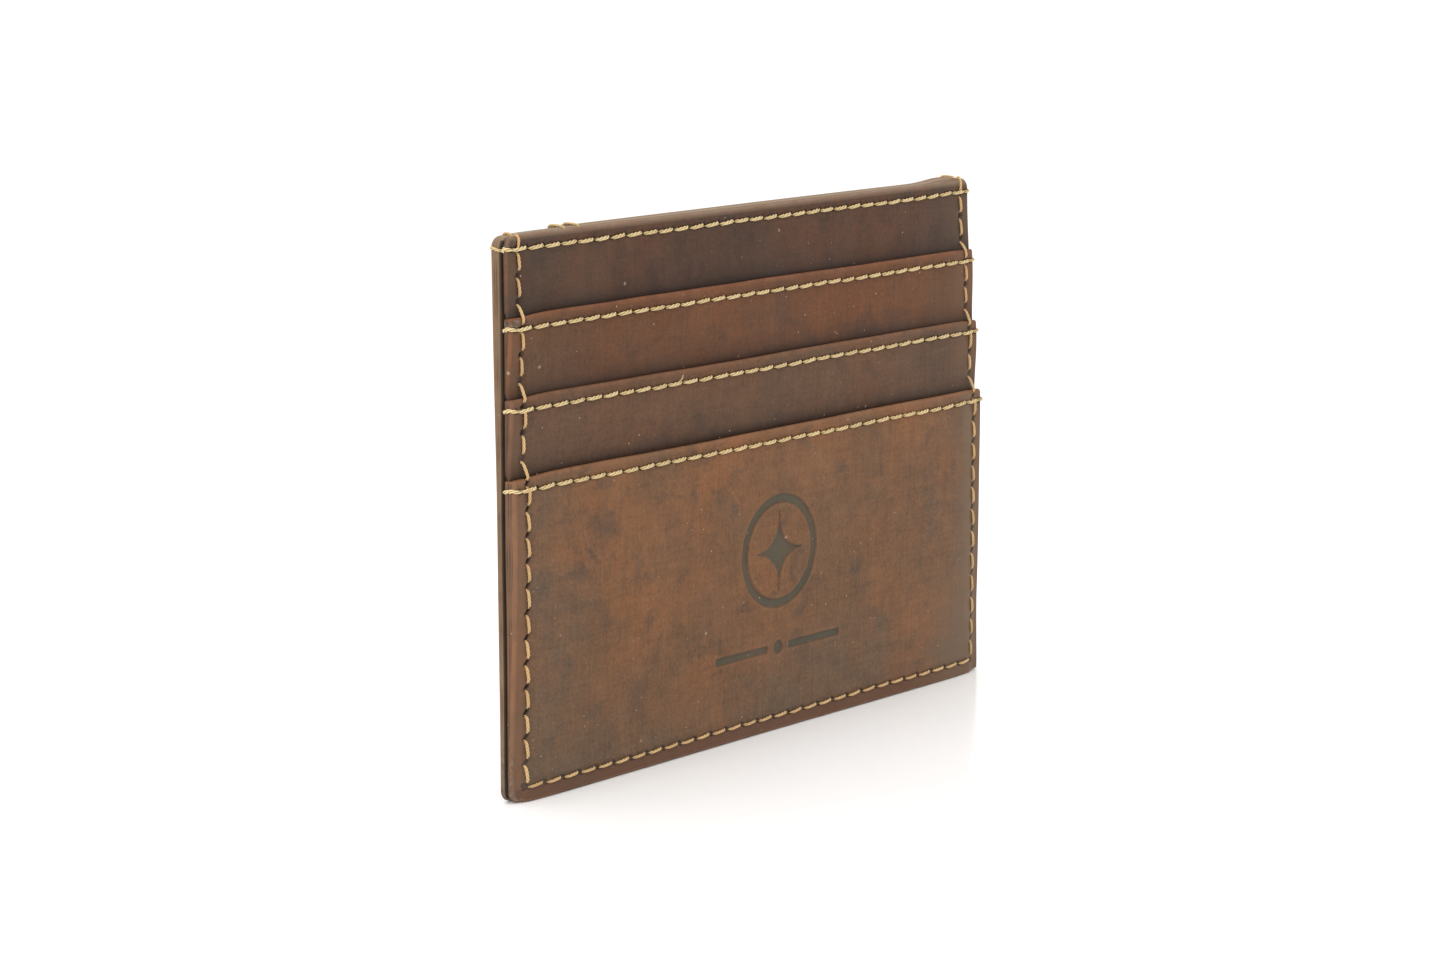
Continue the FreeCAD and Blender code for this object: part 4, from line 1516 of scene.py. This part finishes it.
def front_row_piece(strip, name, node):
    holes = front_rows[strip.name]
    lines = seam_lines(holes, 0.13, -1, strip.depth, row_radius, strip.seed)
    for sign in (-1, 1):
        z = float(strip.row_z(np.array([sign * row_end]))[0])
        lines.append(edge_wrap(sign, z, -1, strip.depth, row_radius))
    sized = with_radius(lines, row_radius)
    if strip is middle:
        sized.append((whisker(), 0.07))
    return mount(thread_piece(name, sized, row_thread), node)


def whisker():
    """A stray end of thread that stands out of the middle row."""
    start = np.array([-19.0, middle.lip - row_inset])
    depth_here = float(middle.depth(start[:1], start[1:])[0])
    bend = float(front_bend(start[0], start[1]))
    route = [(0.0, -0.2, 0.0), (0.1, 0.25, 0.25), (0.35, 0.5, 0.7), (0.55, 0.55, 1.2)]
    spots = [(start[0] + a, bend - depth_here - b, start[1] + c) for a, b, c in route]
    return resampled(spots, 16)


def perimeter_piece():
    r = seam_radius
    lines = []
    runs = (
        (front_left, 0.16, -1, over_rows), (front_right, 0.16, -1, over_rows),
        (front_bottom, 0.14, -1, front_depth), (back_left, 0.16, 1, back_depth),
        (back_bottom_left, 0.14, 1, back_depth), (back_right, 0.16, 1, frame_depth),
        (back_bottom_right, 0.14, 1, frame_depth),
    )
    for number, (holes, slant, side, depth) in enumerate(runs):
        lines += seam_lines(holes, slant, side, depth, r, number + 1, seam_gap)
    for x in (-seam_x, seam_x):
        lines.append(top_wrap(x, -1, band.depth, r, height, seam_top))
    lines.append(top_wrap(-seam_x, 1, back_depth, r, height, seam_top))
    lines.append(top_wrap(seam_x, 1, frame_depth, r, height, seam_top))
    piece = thread_piece("thread_perimeter", with_radius(lines, r), seam_thread)
    return mount(piece, "perimeter_stitch")


def back_thread_pieces():
    r = seam_radius
    lines = seam_lines(back_row_left, 0.13, 1, back_depth, r, 8)
    lines += seam_lines(back_row_right, 0.13, 1, frame_depth, r, 9)
    lines.append(edge_wrap(-1, seam_top, 1, back_depth, r))
    lines.append(edge_wrap(1, seam_top, 1, frame_depth, r))
    mount(thread_piece("thread_back_row", with_radius(lines, r), row_thread), "back_top_stitch")
    lines = []
    for number, holes in enumerate(window_sides):
        lines += seam_lines(holes, 0.12, 1, frame_depth, r, 10 + number)
    mount(thread_piece("thread_window", with_radius(lines, r), row_thread), "id_window_stitch")
    lines = []
    for number, holes in enumerate(binding_rows):
        lines += seam_lines(holes[:-1], 0.1, 1, binding_depth, r, 20 + number)
        x, z = holes[-2]
        lines.append(top_wrap(float(x), 1, binding_depth, r, binding_top, float(z), 0.05))
    mount(thread_piece("thread_binding", with_radius(lines, r), row_thread), "id_binding_stitch")


floor_seam_half, floor_seam_radius = 45.0, 0.08


def floor_rows():
    """The hidden seams that close the pocket linings."""
    for name, node, z, depth in (
        ("thread_upper_floor", "upper_pocket_floor_stitch", 20.0, upper_lining_depth),
        ("thread_middle_floor", "middle_pocket_floor_stitch", 11.5, middle_lining_depth),
    ):
        holes = line_holes((-floor_seam_half, z), (floor_seam_half, z), 80)
        lines = seam_lines(holes, 0.0, -1, depth, floor_seam_radius, 30)
        mount(thread_piece(name, with_radius(lines, floor_seam_radius), hidden_thread), node)


band_piece()
pocket_piece(upper, upper_hide, "upper_pocket_front", 2)
pocket_piece(middle, middle_hide, "middle_pocket_front", 3)
lower_piece()
back_piece()
frame_piece()
binding_piece()
window_piece()
lining_pieces()
core_pieces()
for strip, name, node in ((band, "thread_top_band", "top_band_stitch"),
                          (upper, "thread_upper_row", "upper_pocket_stitch"),
                          (middle, "thread_middle_row", "middle_pocket_stitch"),
                          (lower, "thread_lower_row", "lower_pocket_stitch")):
    front_row_piece(strip, name, node)
perimeter_piece()
back_thread_pieces()
floor_rows()


# Floor, light and camera

def build_floor():
    size = 6.0
    mesh = bpy.data.meshes.new("floor")
    mesh.from_pydata([(-size, -size, 0), (size, -size, 0), (size, size, 0), (-size, size, 0)], [],
                     [(0, 1, 2, 3)])
    mesh.materials.append(floor_material())
    floor = bpy.data.objects.new("floor", mesh)
    floor.location.z = -0.00005
    bpy.context.scene.collection.objects.link(floor)


def area_light(name, place, aim, size, power, tint=(1.0, 1.0, 1.0)):
    data = bpy.data.lights.new(name, "AREA")
    data.shape = "RECTANGLE"
    data.size, data.size_y = size
    data.energy = power
    data.color = tint
    lamp = bpy.data.objects.new(name, data)
    lamp.location = place
    direction = np.array(aim) - np.array(place)
    lamp.rotation_mode = "QUATERNION"
    lamp.rotation_quaternion = Vector(direction).to_track_quat("-Z", "Y")
    bpy.context.scene.collection.objects.link(lamp)


def build_light():
    world = bpy.data.worlds.new("studio")
    world.use_nodes = True
    world.node_tree.nodes["Background"].inputs["Color"].default_value = (1.0, 1.0, 1.0, 1.0)
    world.node_tree.nodes["Background"].inputs["Strength"].default_value = 1.03
    bpy.context.scene.world = world
    centre = (0.0, 0.0, 0.04)
    area_light("top_softbox", (-0.1, -0.15, 0.9), centre, (1.0, 1.0), 3.2)
    area_light("left_softbox", (-0.9, -0.1, 0.45), centre, (0.7, 0.7), 3.6)
    area_light("front_softbox", (-0.25, -0.9, 0.5), centre, (0.8, 0.8), 0.5)
    bpy.context.scene.view_settings.view_transform = "Standard"


def build_camera():
    azimuth, elevation, roll = math.radians(-49.76), math.radians(10.02), math.radians(-0.37)
    distance, aim = 477.96, np.array([-5.99, 1.0, 37.0])
    back = np.array([math.sin(azimuth) * math.cos(elevation),
                     -math.cos(azimuth) * math.cos(elevation), math.sin(elevation)])
    right = np.cross(-back, [0.0, 0.0, 1.0])
    right /= np.linalg.norm(right)
    up = np.cross(back, right)
    turned_right = right * math.cos(roll) + up * math.sin(roll)
    turned_up = -right * math.sin(roll) + up * math.cos(roll)
    data = bpy.data.cameras.new("camera")
    data.lens, data.sensor_width = 84.675, 36.0
    data.clip_start, data.clip_end = 0.01, 30.0
    camera = bpy.data.objects.new("camera", data)
    place = (aim + distance * back) * MM
    camera.matrix_world = Matrix([
        [turned_right[i], turned_up[i], back[i], place[i]] for i in range(3)] + [[0, 0, 0, 1]])
    bpy.context.scene.collection.objects.link(camera)
    bpy.context.scene.camera = camera


build_floor()
build_light()
build_camera()
